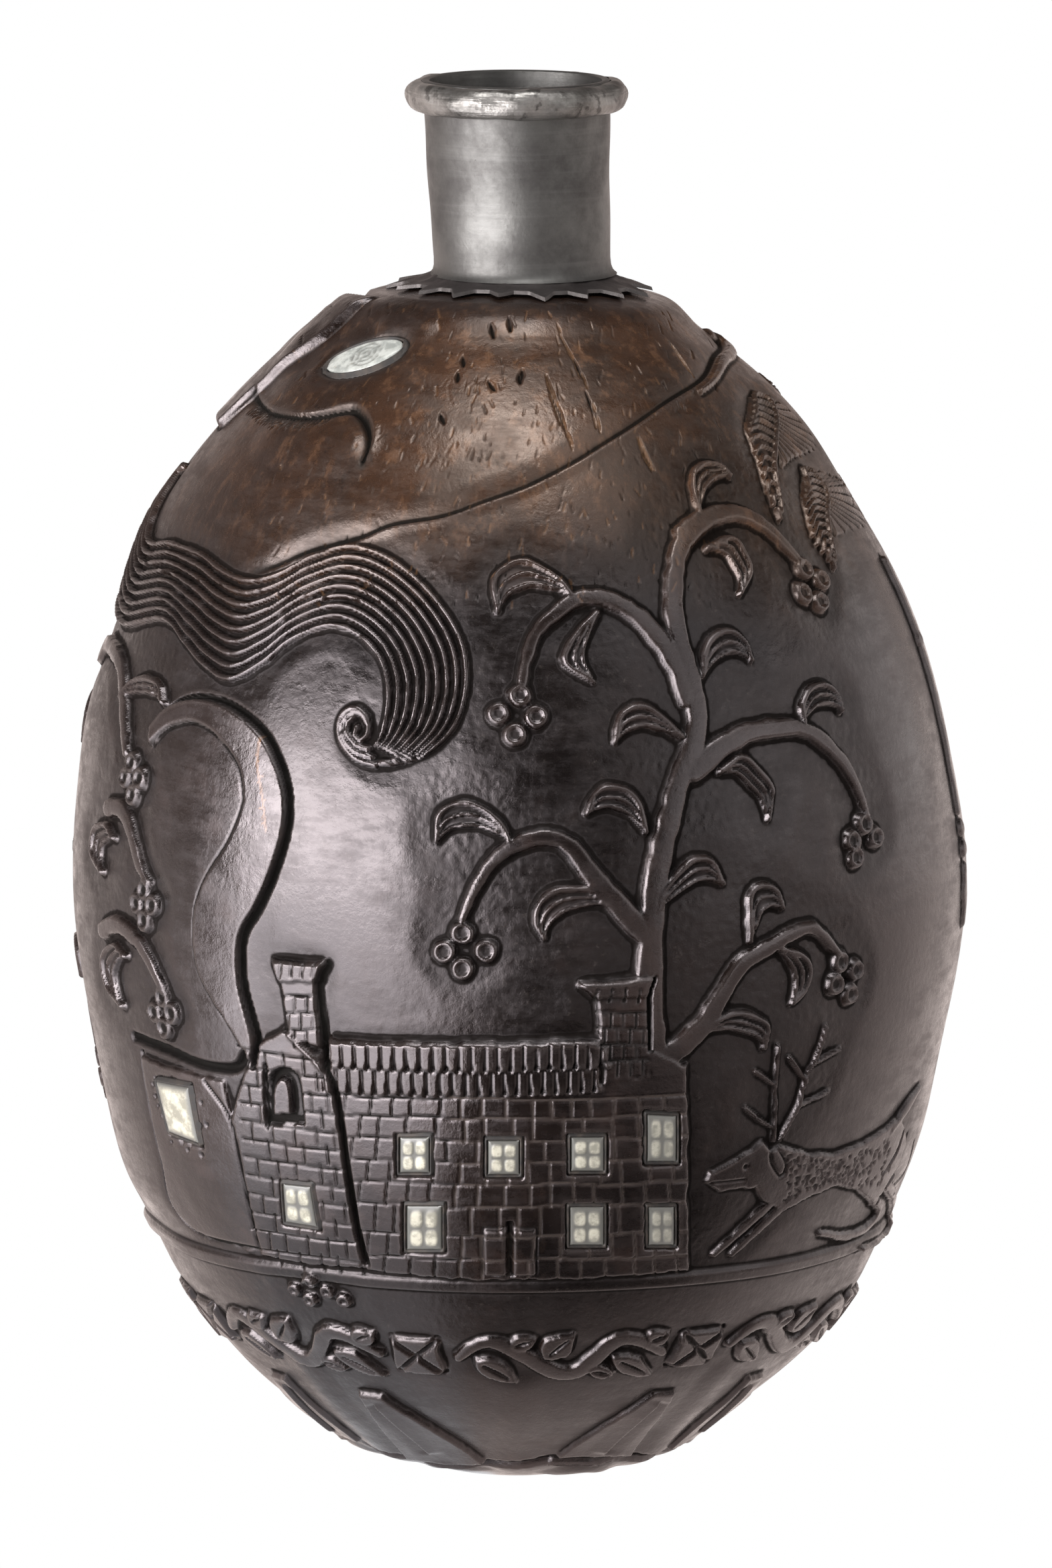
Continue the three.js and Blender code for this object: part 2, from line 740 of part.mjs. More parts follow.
const coconut = { color: 0x2e2422, roughness: 0.42, metalness: 0 };
const pewter = { color: 0x5d5b58, roughness: 0.4, metalness: 0.9 };
const shell = { color: 0xc9c3a6, roughness: 0.3, metalness: 0 };
const mastic = { color: 0x15110f, roughness: 0.7, metalness: 0 };

const flask = new THREE.Group();

function addPiece(name, made, finish) {
  const mesh = new THREE.Mesh(geometryOf(made), new THREE.MeshStandardMaterial(finish));
  mesh.name = name;
  flask.add(mesh);
}

addPiece("coconut_shell", coconutShell(), coconut);
addPiece("neck_tube", neckTube(), pewter);
addPiece("rim_bead", rimBead(), pewter);
addPiece("collar_flange", collarFlange(), pewter);
addPiece("pitch_seal", pitchSeal(), mastic);
for (const inlay of inlays) {
  addPiece(inlay.name + "_inlay", inlayPiece(inlay), shell);
  addPiece(inlay.name + "_bed", bedPiece(inlay), mastic);
}

export default flask;
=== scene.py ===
import math
import bmesh
import bpy
import numpy as np
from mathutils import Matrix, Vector


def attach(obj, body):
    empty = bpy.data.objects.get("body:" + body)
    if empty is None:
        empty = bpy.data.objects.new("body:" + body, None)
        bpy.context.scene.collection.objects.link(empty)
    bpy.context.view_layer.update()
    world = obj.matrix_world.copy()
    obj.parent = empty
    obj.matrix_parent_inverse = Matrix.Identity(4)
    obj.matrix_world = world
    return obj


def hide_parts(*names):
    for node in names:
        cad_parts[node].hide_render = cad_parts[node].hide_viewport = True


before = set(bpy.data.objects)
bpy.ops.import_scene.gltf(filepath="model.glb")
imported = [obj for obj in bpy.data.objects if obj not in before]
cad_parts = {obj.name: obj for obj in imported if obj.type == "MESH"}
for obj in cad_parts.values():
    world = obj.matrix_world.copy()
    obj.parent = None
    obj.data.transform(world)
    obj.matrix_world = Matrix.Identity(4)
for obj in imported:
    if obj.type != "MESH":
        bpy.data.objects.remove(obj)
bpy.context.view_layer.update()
chance = np.random.default_rng(7)

# Lengths are millimetres, and a place on the nut is degrees from the front with the length up its side
mm = 0.001
noseTurn = -92.0  # where the mask's nose stands

# Nut: the oval of the CAD, with columns set closer on the side that faces the camera
nut = dict(
    girth=46.9, crown=66.8, base=62.0, foot=8.0, wall=4.4, hole=10.85, proud=0.5,
    rowStep=0.215, frontFrom=-106.0, frontTo=94.0, frontStep=0.25, backStep=0.5, profileSteps=6000,
    flatSteps=60,
)
girthHeight = nut["base"] * math.sqrt(1 - (nut["foot"] / nut["girth"]) ** 2)


def nutProfile():
    low = math.acos(nut["foot"] / nut["girth"])
    high = math.acos(nut["hole"] / nut["girth"])
    turn = np.linspace(-low, high, nut["profileSteps"])
    length = np.where(turn > 0, nut["crown"], nut["base"])
    radius = nut["girth"] * np.cos(turn)
    height = girthHeight + length * np.sin(turn)
    outR = radius / nut["girth"] ** 2
    outZ = (height - girthHeight) / length**2
    size = np.hypot(outR, outZ)
    flat = np.linspace(0, nut["foot"], nut["flatSteps"])[:-1]
    radius = np.concatenate([flat, radius])
    height = np.concatenate([0 * flat, height])
    outR = np.concatenate([0 * flat, outR / size])
    outZ = np.concatenate([0 * flat - 1, outZ / size])
    along = np.concatenate([[0], np.cumsum(np.hypot(np.diff(radius), np.diff(height)))])
    return along, radius, height, outR, outZ


along, *profile = nutProfile()
rowT = np.linspace(0, along[-1], int(along[-1] / nut["rowStep"]))
rowR, rowZ, rowOutR, rowOutZ = [np.interp(rowT, along, values) for values in profile]
colDeg = np.concatenate([
    np.arange(-180, nut["frontFrom"], nut["backStep"]),
    np.arange(nut["frontFrom"], nut["frontTo"], nut["frontStep"]),
    np.arange(nut["frontTo"], 180, nut["backStep"]),
])
shape = (len(rowT), len(colDeg))
print("nut grid", shape)

# Camera: where the photograph was taken from; places read off it are pixels of the full picture
photo = dict(
    height=2337, away=1400.0, tilt=8.85, aimAbove=12.0, aimRight=1.1, axisX=768.5, focal=19688.0, middleX=768,
    sighted=0.3,  # how far over the oval the carving is sighted
)


def onNut(pixels):
    pixels = np.asarray(pixels, float)
    tilt = math.radians(photo["tilt"])
    forward = np.array([0, math.cos(tilt), -math.sin(tilt)])
    upward = np.array([0, math.sin(tilt), math.cos(tilt)])
    eye = -photo["away"] * forward + np.array([0, 0, photo["aimAbove"]])
    acrossX = (pixels[:, 0] - photo["axisX"]) / photo["focal"]
    downY = (pixels[:, 1] - photo["height"] / 2) / photo["focal"]
    rays = forward - downY[:, None] * upward
    rays[:, 0] += acrossX
    found = np.zeros((len(pixels), 3))
    for length, isUpper in ((nut["crown"], True), (nut["base"], False)):
        size = np.array([nut["girth"], nut["girth"], length]) + photo["sighted"]
        start = eye / size
        ray = rays / size
        a = (ray * ray).sum(1)
        b = 2 * (ray @ start)
        inside = np.maximum(b * b - 4 * a * (start @ start - 1), 0)
        hit = eye + ((-b - np.sqrt(inside)) / (2 * a))[:, None] * rays
        found = np.where(((hit[:, 2] >= 0) == isUpper)[:, None], hit, found)
    degrees = np.degrees(np.arctan2(found[:, 0], -found[:, 1]))
    return np.column_stack([degrees, np.interp(found[:, 2] + girthHeight, rowZ, rowT)])


def curve(points, step=0.5, count=None):
    points = np.asarray(points, float)
    padded = np.vstack([2 * points[0] - points[1], points, 2 * points[-1] - points[-2]])
    made = []
    for i in range(1, len(padded) - 2):
        p0, p1, p2, p3 = padded[i - 1:i + 3]
        radius = np.interp(p1[1], rowT, rowR)
        size = math.hypot(math.radians(p2[0] - p1[0]) * radius, p2[1] - p1[1])
        u = np.linspace(0, 1, count or max(2, int(size / step) + 1))[:-1, None]
        made.append(0.5 * (2 * p1 + (p2 - p0) * u + (2 * p0 - 5 * p1 + 4 * p2 - p3) * u**2
                           + (3 * p1 - p0 - 3 * p2 + p3) * u**3))
    return np.vstack(made + [points[-1:]])


def straight(pixels, turn=0, flip=False, drop=0):
    line = onNut(pixels)
    if flip:
        line[:, 0] = -line[:, 0]
    return line + np.array([turn, -drop])


def drawn(pixels, *move):
    return curve(straight(pixels, *move))


def closed(points):
    return np.vstack([points, points[:1]])


def shareAlong(line):
    mmPerDegree = 0.7  # about, over the height of the carving
    size = np.hypot(np.diff(line[:, 0]) * mmPerDegree, np.diff(line[:, 1]))
    ends = np.concatenate([[0], np.cumsum(size)])
    return ends / ends[-1]


def evenly(line, count):
    at = np.linspace(0, 1, count)
    return np.column_stack([np.interp(at, shareAlong(line), line[:, i]) for i in (0, 1)])


def blur(field, half):
    rowsDone = np.pad(field, ((half + 1, half), (0, 0)), mode="edge").cumsum(0)
    rowsDone = (rowsDone[2 * half + 1:] - rowsDone[:-2 * half - 1]) / (2 * half + 1)
    done = np.pad(rowsDone, ((0, 0), (half + 1, half)), mode="wrap").cumsum(1)
    return (done[:, 2 * half + 1:] - done[:, :-2 * half - 1]) / (2 * half + 1)


def blurred(field, *halves):
    for half in halves:
        field = blur(field, half)
    return field


def roughness(*halves):
    made = blurred(chance.standard_normal(shape), *halves)
    return made / made.std()


def unit(x):
    return np.clip(x, 0, 1)


def ease(x):
    x = unit(x)
    return x * x * (3 - 2 * x)


def fadeIn(values, first, over):
    return unit((values - first) / over)


# Carving: tops of the figures, how far the ground is cut back, cuts, and what colours them; the dark of the
# dirt layer is dirt in places and painted shade in others
figureTop = np.full(shape, -9.0)
sink, cut, swell, fibre, pale, dirtAndShade = [np.zeros(shape) for i in range(6)]
raggedEdge = 0.06
ragged = roughness(2, 2) * raggedEdge * np.clip(rowR / 40, 0.2, 1)[:, None]
wallSteepness = 1.9


def fadeOut(x):
    shoulder = 0.12
    return 1 - ease((x - shoulder) / (1 - shoulder))


def lay(field, place, values):
    field[place] = np.maximum(field[place], values)


def reachTo(line, reach):
    inRows = (rowT >= line[:, 1].min() - reach) & (rowT <= line[:, 1].max() + reach)
    rows = np.flatnonzero(inRows)
    spread = math.degrees(reach / max(rowR[rows].min(), 4))
    middle = (line[:, 0].min() + line[:, 0].max()) / 2
    half = (line[:, 0].max() - line[:, 0].min()) / 2 + spread
    gap = (colDeg - middle + 180) % 360 - 180
    cols = np.flatnonzero(np.abs(gap) <= half)
    cols = cols[np.argsort(gap[cols])]
    deg = gap[cols] + middle
    radius = math.radians(1) * rowR[rows][:, None]
    meanR = math.radians(1) * rowR[rows].mean()
    pieces = np.hypot(np.diff(line[:, 0]) * meanR, np.diff(line[:, 1]))
    ends = np.concatenate([[0], np.cumsum(pieces)])
    best = np.full((len(rows), len(cols)), 1e3)
    where = np.zeros_like(best)
    side = np.zeros_like(best)
    for j in range(len(line) - 1):
        (d0, t0), (d1, t1) = line[j], line[j + 1]
        r0 = np.searchsorted(rowT[rows], min(t0, t1) - reach)
        r1 = np.searchsorted(rowT[rows], max(t0, t1) + reach)
        c0 = np.searchsorted(deg, min(d0, d1) - spread)
        c1 = np.searchsorted(deg, max(d0, d1) + spread)
        part = np.s_[r0:r1, c0:c1]
        scale = radius[r0:r1]
        ax = (deg[None, c0:c1] - d0) * scale
        ay = rowT[rows][r0:r1, None] - t0
        bx = (d1 - d0) * scale
        by = t1 - t0
        s = unit((ax * bx + ay * by) / (bx * bx + by * by + 1e-9))
        dist = np.hypot(ax - s * bx, ay - s * by)
        closer = dist < best[part]
        best[part] = np.where(closer, dist, best[part])
        where[part] = np.where(closer, (ends[j] + s * pieces[j]) / max(ends[-1], 1e-6), where[part])
        side[part] = np.where(closer, np.sign(bx * ay - by * ax), side[part])
    return np.ix_(rows, cols), best, where, side, deg


def insideOf(outline, place, deg):
    t = rowT[place[0]]
    within = np.zeros((len(t), len(deg)), bool)
    for (d0, t0), (d1, t1) in zip(outline, np.roll(outline, -1, 0)):
        if t0 == t1:
            continue
        crosses = (t0 > t) != (t1 > t)
        at = d0 + (t - t0) / (t1 - t0) * (d1 - d0)
        within ^= crosses & (deg[None] < at)
    return within


def setFigure(place, edge, top, clear, fade):
    edge = edge + ragged[place]
    outside = np.maximum(edge + 0.1, 0)
    lay(figureTop, place, top - wallSteepness * outside - np.where(outside > 1, 3, 0))
    if clear:
        lay(sink, place, clear * fadeOut(edge / fade))


def raiseLine(line, widths, top=0.0, crest=0.08, clear=0.8, fade=5.0):
    place, dist, where, *_ = reachTo(line, max(widths) / 2 + fade)
    known = shareAlong(line) if len(widths) == len(line) else np.linspace(0, 1, len(widths))
    half = np.interp(where, known, widths) / 2
    setFigure(place, dist - half, top - crest * np.minimum(dist / half, 1.2) ** 2, clear, fade)


def edgeOf(outline, reach):
    place, dist, _, _, deg = reachTo(closed(outline), reach)
    return place, np.where(insideOf(outline, place, deg), -dist, dist)


def raisePanel(outline, top=0.0, clear=0.8, fade=4.0):
    place, edge = edgeOf(np.asarray(outline), fade + 0.6)
    setFigure(place, edge, top, clear, fade)


def cutLine(line, width, depth, power=1.5, into=None, strength=1.0):
    widths = width if isinstance(width, (list, tuple)) else [width]
    place, dist, where, *_ = reachTo(line, max(widths) / 2 + 0.3)
    half = np.interp(where, np.linspace(0, 1, len(widths)), widths) / 2
    lay(cut, place, depth * unit(1 - (dist / half) ** power))
    if into is not None:
        lay(into, place, strength * unit(1.3 - dist / half))


def score(pixels, width, depth, into=None, strength=1.0):
    cutLine(straight(pixels), width, depth, into=into, strength=strength)


def swellLine(line, width, height):
    place, dist, *_ = reachTo(line, width)
    swell[place] += height * unit(1 - (dist / width) ** 2) ** 2


def stepLine(line, upper, lower, turned=1):
    place, dist, where, side, _ = reachTo(line, max(upper[0], lower[0]))
    above = unit(0.5 + turned * side * dist / 0.3)
    high = upper[1] * unit(1 - dist / upper[0]) ** 1.5
    low = lower[1] * unit(1 - dist / lower[0]) ** 1.5
    ends = unit(where / 0.05) * unit((1 - where) / 0.05)
    swell[place] += (high * above + low * (1 - above)) * ends


def markLine(line, width, field, strength=1.0):
    place, dist, *_ = reachTo(line, width)
    lay(field, place, strength * unit(1.2 - dist / (width / 2)))


def dot(pixel, radius, depth):
    line = straight([pixel, pixel])
    place, dist, *_ = reachTo(line, radius + 0.3)
    lay(cut, place, depth * unit(1 - (dist / radius) ** 2))


# Weeping tree: trunk, branches, the rings of its blossoms and crescent leaves, each from joint to tip
tree = dict(
    trunk=[(974, 1578), (970, 1480), (972, 1400), (980, 1310), (996, 1236), (1017, 1159), (1036, 1113),
           (1041, 1064), (1036, 1025), (1015, 960), (1007, 914), (1008, 861), (1017, 815), (1036, 784),
           (1059, 773)],
    trunkWidths=[3.0, 2.5, 2.3, 2.1, 2.0, 1.6],
    branches=[
        [(1028, 1037), (1013, 998), (990, 960), (964, 930), (929, 903), (891, 891), (860, 895), (830, 914),
         (807, 937), (791, 964), (782, 995), (778, 1025)],
        [(1023, 799), (1049, 777), (1085, 765), (1116, 768), (1143, 783), (1170, 808), (1197, 839)],
        [(1035, 1150), (1049, 1138), (1076, 1116), (1112, 1096), (1148, 1087), (1183, 1085), (1214, 1094),
         (1241, 1116), (1264, 1143), (1281, 1178), (1293, 1214)],
        [(964, 1392), (934, 1360), (903, 1327), (878, 1296), (853, 1265), (828, 1251), (800, 1250),
         (777, 1256), (755, 1268), (732, 1287), (715, 1313), (701, 1341), (690, 1369)],
        [(985, 1578), (1012, 1564), (1049, 1530), (1079, 1480), (1108, 1438), (1142, 1417), (1176, 1396),
         (1209, 1383), (1230, 1396), (1251, 1421)],
    ],
    branchWidths=[2.4, 1.9, 1.5, 0.9],
    blossoms=[
        [(776, 1038), (744, 1065), (801, 1069), (768, 1096)],
        [(1203, 848), (1228, 864), (1201, 884), (1226, 897)],
        [(1290, 1228), (1272, 1253), (1306, 1248), (1277, 1278)],
        [(690, 1391), (725, 1418), (690, 1444), (662, 1419)],
        [(1255, 1434), (1277, 1446), (1247, 1467), (1270, 1482)],
    ],
    ringRadius=1.1,
    leaves=[
        [(853, 888), (830, 861), (784, 838), (753, 847), (736, 868), (742, 910)],
        [(891, 914), (868, 937), (849, 964), (845, 990), (887, 1018)],
        [(1017, 1098), (994, 1075), (967, 1056), (944, 1056), (925, 1071), (918, 1106)],
        [(965, 1240), (952, 1198), (933, 1178), (906, 1175), (887, 1186), (876, 1213)],
        [(759, 1251), (753, 1236), (730, 1213), (700, 1198), (673, 1201), (654, 1217), (650, 1255)],
        [(910, 1350), (885, 1329), (855, 1326), (826, 1330), (804, 1348), (799, 1376), (812, 1400)],
        [(1058, 817), (1094, 803), (1112, 826), (1121, 852), (1107, 884)],
        [(1049, 1009), (1054, 969), (1072, 946), (1094, 942), (1114, 960), (1123, 985)],
        [(1201, 1076), (1197, 1053), (1210, 1027), (1232, 1022), (1250, 1036), (1257, 1060)],
        [(1076, 1150), (1107, 1129), (1134, 1152), (1152, 1178), (1147, 1223)],
        [(1121, 1404), (1119, 1366), (1121, 1333), (1138, 1320), (1159, 1328), (1169, 1354)],
        [(982, 1358), (990, 1330), (1016, 1299), (1037, 1282), (1062, 1284), (1080, 1318)],
        [(1159, 1412), (1197, 1425), (1209, 1446), (1201, 1476), (1182, 1497)],
        [(1048, 1540), (1066, 1524), (1100, 1511), (1125, 1516), (1146, 1530), (1142, 1562)],
        [(1045, 763), (1036, 732), (1038, 705), (1054, 692), (1076, 694), (1092, 710)],
    ],
    leafRibs=((0.0, 0.62), (0.3, 0.34), (0.58, 0.3)),  # share of the way to the chord, width
    hidden=((124, False, 21.5), (-98, True, 21.5)),  # turn, mirrored, drop to the ledge
)


def carveLeaf(pixels, *move):
    arc = drawn(pixels, *move)
    chord = np.linspace(arc[0], arc[-1], len(arc))
    inner = arc + (chord - arc) * (tree["leafRibs"][-1][0] + 0.06)
    raisePanel(np.vstack([arc, inner[::-1]]), top=-0.42, clear=0.85, fade=7.5)
    for share, width in tree["leafRibs"]:
        rib = arc + (chord - arc) * share
        raiseLine(rib, [width, width * 1.2, width * 0.8], top=0.02, crest=0.2, clear=0)


def carveRing(pixel, radius, *move):
    line = straight([pixel, pixel], *move)
    place, dist, *_ = reachTo(line, radius + 5.6)
    x = dist / radius
    top = 0.05 - 0.34 * unit((0.72 - x) / 0.3)
    setFigure(place, dist - radius, top, 0.85, 5.5)


def carveTree(*move):
    raiseLine(drawn(tree["trunk"], *move), tree["trunkWidths"], clear=0.95, fade=10.0)
    for line in tree["branches"]:
        raiseLine(drawn(line, *move), tree["branchWidths"], clear=0.9, fade=9.0)
    for pixels in tree["leaves"]:
        carveLeaf(pixels, *move)
    for ring in [pixel for rings in tree["blossoms"] for pixel in rings]:
        carveRing(ring, tree["ringRadius"], *move)


carveTree()
for move in tree["hidden"]:
    carveTree(*move)

# Branch of the next tree: it shows end on at the right edge, with blossoms and a hanging leaf
twig = dict(
    turn=81.5, line=[(1290, 857), (1330, 960), (1360, 1060), (1380, 1150), (1390, 1227)],
    widths=[1.5, 1.9, 2.0, 1.9, 1.4], crest=0.15, fade=3.5, rings=[(1335, 974), (1388, 1258), (1388, 1288)],
    ringWidth=2.3, leaf=[(1388, 1316), (1388, 1360), (1384, 1402)], leafWidths=[1.2, 2.1, 1.1], top=0.3,
    clear=0.5,
)


def atEdge(pixels):
    line = straight(pixels)
    line[:, 0] = twig["turn"]
    return line


raiseLine(atEdge(twig["line"]), twig["widths"], twig["top"], twig["crest"], twig["clear"], twig["fade"])
raiseLine(atEdge(twig["leaf"]), twig["leafWidths"], twig["top"], crest=0.2, clear=twig["clear"], fade=3.0)
for ring in twig["rings"]:
    raiseLine(atEdge([ring, ring]), [twig["ringWidth"]], twig["top"] + 0.15, 0.3, twig["clear"], fade=3.0)

# Left tree: what shows of it at the edge of the photograph
leftTree = dict(
    branches=[
        [(146, 978), (163, 960), (178, 986), (184, 1037), (188, 1121)],
        [(160, 1205), (178, 1206), (192, 1232), (207, 1289), (218, 1316)],
        [(150, 1385), (170, 1378), (194, 1394), (220, 1430), (242, 1477)],
    ],
    widths=[1.8, 1.6, 1.2],
    leaves=[
        [(180, 1040), (196, 1018), (216, 1012), (236, 1022), (241, 1048)],
        [(150, 1300), (136, 1270), (140, 1236), (156, 1230), (168, 1250)],
        [(178, 1500), (156, 1470), (150, 1430), (166, 1408), (184, 1426)],
    ],
    blossoms=[(197, 1137), (186, 1160), (208, 1160), (197, 1186), (213, 1326), (202, 1347), (226, 1350),
              (214, 1372), (240, 1486), (228, 1508), (254, 1510), (243, 1532)],
)
for pixels in leftTree["branches"]:
    raiseLine(drawn(pixels), leftTree["widths"], clear=0.9, fade=3.5)
for pixels in leftTree["leaves"]:
    carveLeaf(pixels)
for x, y in leftTree["blossoms"]:
    carveRing((x, y), tree["ringRadius"])
    markLine(straight([(x - 3, y), (x + 3, y)]), 2.6, dirtAndShade, 0.55)
print("trees carved")

# Mane: strands from the nose over the cheek and round into the curl, with its upper and lower edge in pairs
mane = dict(
    pairs=[
        ((271, 699), (168, 892)), ((230, 807), (185, 931)), ((259, 814), (244, 923)),
        ((300, 829), (278, 962)), ((333, 854), (304, 992)), ((369, 867), (341, 1012)),
        ((414, 858), (390, 988)), ((463, 833), (435, 953)), ((524, 816), (488, 933)),
        ((581, 835), (528, 943)), ((638, 882), (563, 976)), ((683, 947), (577, 1016)),
        ((695, 1012), (578, 1050)), ((679, 1078), (573, 1079)), ((638, 1122), (566, 1101)),
        ((601, 1138), (556, 1113)), ((560, 1142), (544, 1120)),
    ],
    spiral=[(560, 1142), (527, 1129), (506, 1099), (507, 1071), (523, 1056), (540, 1061), (549, 1077),
            (547, 1097), (537, 1105), (528, 1097), (531, 1085)],
    centre=(533, 1086),
    coils=((1.0, 11), (0.78, 7), (0.56, 5)),  # size against the outer coil, points it follows
    strands=9,
)


def carveMane(turn, flip):
    upper, lower = [curve(onNut(edge), count=7) for edge in zip(*mane["pairs"])]
    radius = np.interp(upper[:, 1], rowT, rowR) * math.radians(1)
    spread = np.hypot((upper[:, 0] - lower[:, 0]) * radius, upper[:, 1] - lower[:, 1]) / (mane["strands"] - 1)
    for i in range(mane["strands"]):
        line = upper + (lower - upper) * i / (mane["strands"] - 1)
        line = line * np.array([-1 if flip else 1, 1]) + np.array([turn, 0])
        outer = i in (0, mane["strands"] - 1)
        last = len(line) if i < 3 else len(line) - 7
        raiseLine(line[:last], list(np.clip(spread * 0.42, 0.24, 0.6)[:last]), top=0.1, crest=0.25, clear=0.8,
                  fade=5.0 if outer else 1.2)
    centre = np.array(mane["centre"])
    for size, count in mane["coils"]:
        coil = centre + (np.array(mane["spiral"][:count]) - centre) * size
        raiseLine(drawn(coil, turn, flip), [0.6, 0.55, 0.45], top=0.1, crest=0.2, clear=0.8, fade=2.5)


carveMane(0, False)
carveMane(2 * noseTurn, True)

# Plume of smoke: turned a little to the front, over a step at its right edge whose groove is painted black as
# shade
smoke = dict(
    right=[(226, 1079), (243, 1058), (268, 1043), (302, 1039), (336, 1049), (369, 1070), (395, 1096),
           (411, 1125), (424, 1159), (430, 1197), (426, 1245), (408, 1303), (386, 1352), (363, 1392),
           (359, 1437), (363, 1477), (372, 1512), (381, 1553), (377, 1588)],
    left=[(222, 1112), (243, 1091), (268, 1079), (294, 1079), (319, 1094), (340, 1117), (357, 1146),
          (363, 1180), (361, 1205), (341, 1254), (310, 1303), (292, 1347), (288, 1401), (296, 1450),
          (319, 1495), (341, 1530), (363, 1566)],
    crack=[(390, 1100), (386, 1140), (394, 1190), (399, 1239)],
    swell=0.1, step=0.9, fade=4.0, reach=14,
)
smokeRight = drawn(smoke["right"])
smokeLeft = drawn(smoke["left"])
smokeOutline = np.vstack([smokeRight, smokeLeft[::-1]])
place, edge = edgeOf(smokeOutline, 3.5)
swell[place] += np.where(edge < 0, smoke["swell"], 0)
raisePanel(smokeOutline, clear=0)
place, dist, _, _, deg = reachTo(smokeRight, smoke["reach"])
besideSmoke = np.where(insideOf(smokeOutline, place, deg), 0, fadeOut(dist / smoke["fade"]))
lay(sink, place, smoke["step"] * besideSmoke)
# The groove along the step is painted dark: painted shadow under the plume's edge
cutLine(smokeRight, [0.5, 1.0, 1.1, 0.9], 1.1, 2, into=dirtAndShade)
cutLine(smokeLeft, 0.45, 0.2)
markLine(smokeLeft, 0.5, dirtAndShade, 0.6)
crack = drawn(smoke["crack"])
markLine(crack, 0.3, fibre, 1.0)
for at in evenly(crack, 13)[1:-1]:
    aside = np.array([chance.uniform(-1.1, 1.1), chance.uniform(-0.3, 0.3)])
    markLine(np.array([at, at + aside]), 0.25, fibre, 0.9)
print("mane and smoke carved")

# Mask: the grotesque face round the crown, the same on both sides of its nose
mask = dict(
    bridge=[(24, 124.4), (22, 121.0), (17, 117.5), (12, 114.0), (9, 111.5)],  # degrees off the nose, height
    lip=[(381, 589), (395, 609), (415, 619), (460, 624), (509, 614), (527, 613), (541, 625), (550, 645),
         (550, 668), (541, 692)],
    lid=[(462, 572), (432, 572), (428, 548), (452, 522)],
    brow=[(575, 496), (606, 496), (630, 502)],
    cheek=[(415, 650), (470, 660), (520, 672)],
    jaw=[(1078, 488), (1082, 506), (1077, 529), (1052, 569), (997, 604), (922, 654), (858, 693), (788, 728),
         (723, 751), (659, 773), (584, 785), (534, 803), (460, 823), (405, 846), (372, 856)],
    pits=[(760, 499), (778, 564), (659, 629), (833, 472), (733, 581), (775, 570), (690, 545), (682, 568),
          (734, 506)],
    streaks=[
        [(813, 475), (850, 530), (880, 600), (897, 659)],
        [(808, 554), (830, 610), (853, 674)],
        [(952, 654), (962, 680), (977, 703)],
        [(1002, 512), (1020, 540), (1040, 562)],
    ],
    ticks=90, fibres=520, scratches=70, streakPieces=16,
    scratchArea=((650, 840), (520, 740)), fibreArea=((400, 1080), (470, 900)),  # across, down
)
bridgeFront = np.array([(noseTurn + d, np.interp(z, rowZ, rowT)) for d, z in mask["bridge"]])
bridgeBack = bridgeFront * np.array([-1, 1]) + np.array([2 * noseTurn, 0])
bridgeBack[0] = (noseTurn - 12, np.interp(123.0, rowZ, rowT))
bridge = np.vstack([bridgeFront, bridgeBack[::-1]])
ragged[:, np.abs(colDeg - noseTurn) < 34] = 0
raisePanel(bridge, top=0.65, clear=0.3, fade=2.5)
cutLine(np.array([bridgeFront[0] + np.array([4, 1.0]), bridgeBack[0] + np.array([-14, 1.0])]), 1.8, 1.3)
for turn, flip in ((0, False), (2 * noseTurn, True)):
    lip = drawn(mask["lip"], turn, flip)
    edge = bridgeBack if flip else bridgeFront
    cutLine(curve(np.vstack([edge, lip[:1]])), [0.8, 1.1, 1.0], 0.7)
    stepLine(lip, (1.6, 0.2), (1.9, -0.6), -1 if flip else 1)
    # The groove under the lip and a band just below it are painted dark: painted shade under its overhang
    cutLine(lip[int(len(lip) * 0.5):], [0.3, 1.4, 1.4, 0.6], 0.55, into=dirtAndShade)
    markLine(lip - np.array([0, 0.35]), 1.5, dirtAndShade, 1.0)
    swellLine(drawn(mask["lid"], turn, flip), 3.2, 0.3)
    swellLine(drawn(mask["brow"], turn, flip), 2.0, 0.3)
    swellLine(drawn(mask["cheek"], turn, flip), 4.5, 0.35)
    for share in np.linspace(0.1, 0.66, mask["ticks"]):
        start = lip[int(share * (len(lip) - 1))]
        lean = chance.uniform(0.2, 0.9) * (-1 if flip else 1)
        hair = np.array([start + np.array([0, -0.2]), start + np.array([lean, -chance.uniform(0.9, 2.0)])])
        cutLine(hair, [0.34, 0.24], 0.3, into=dirtAndShade, strength=0.9)
for x, y in mask["pits"]:
    lean = chance.uniform(-1, 5)
    pit = drawn([(x - lean, y - 7), (x, y), (x + lean, y + 6)])
    cutLine(pit, [0.3, 0.85, 0.4], 0.42, into=dirtAndShade, strength=0.7)
for i in range(mask["scratches"]):
    x, y = [chance.uniform(*span) for span in mask["scratchArea"]]
    turn = chance.uniform(0, math.pi)
    long = chance.uniform(5, 22)
    scratch = [(x, y), (x + long * math.cos(turn), y + long * math.sin(turn))]
    score(scratch, 0.22, chance.uniform(0.01, 0.03))


def brokenStreak(pixels, pieces):
    line = drawn(pixels)
    for i in range(pieces):
        first = int(chance.uniform(0, 0.9) * (len(line) - 3))
        last = min(len(line), first + int(chance.uniform(3, 9)))
        piece = line[first:last] + np.array([chance.uniform(-0.5, 0.5), 0])
        widths = [0.15, chance.uniform(0.22, 0.4), 0.15]
        depth = chance.uniform(0.12, 0.35)
        cutLine(piece, widths, depth, into=fibre if i % 3 else dirtAndShade, strength=0.7)


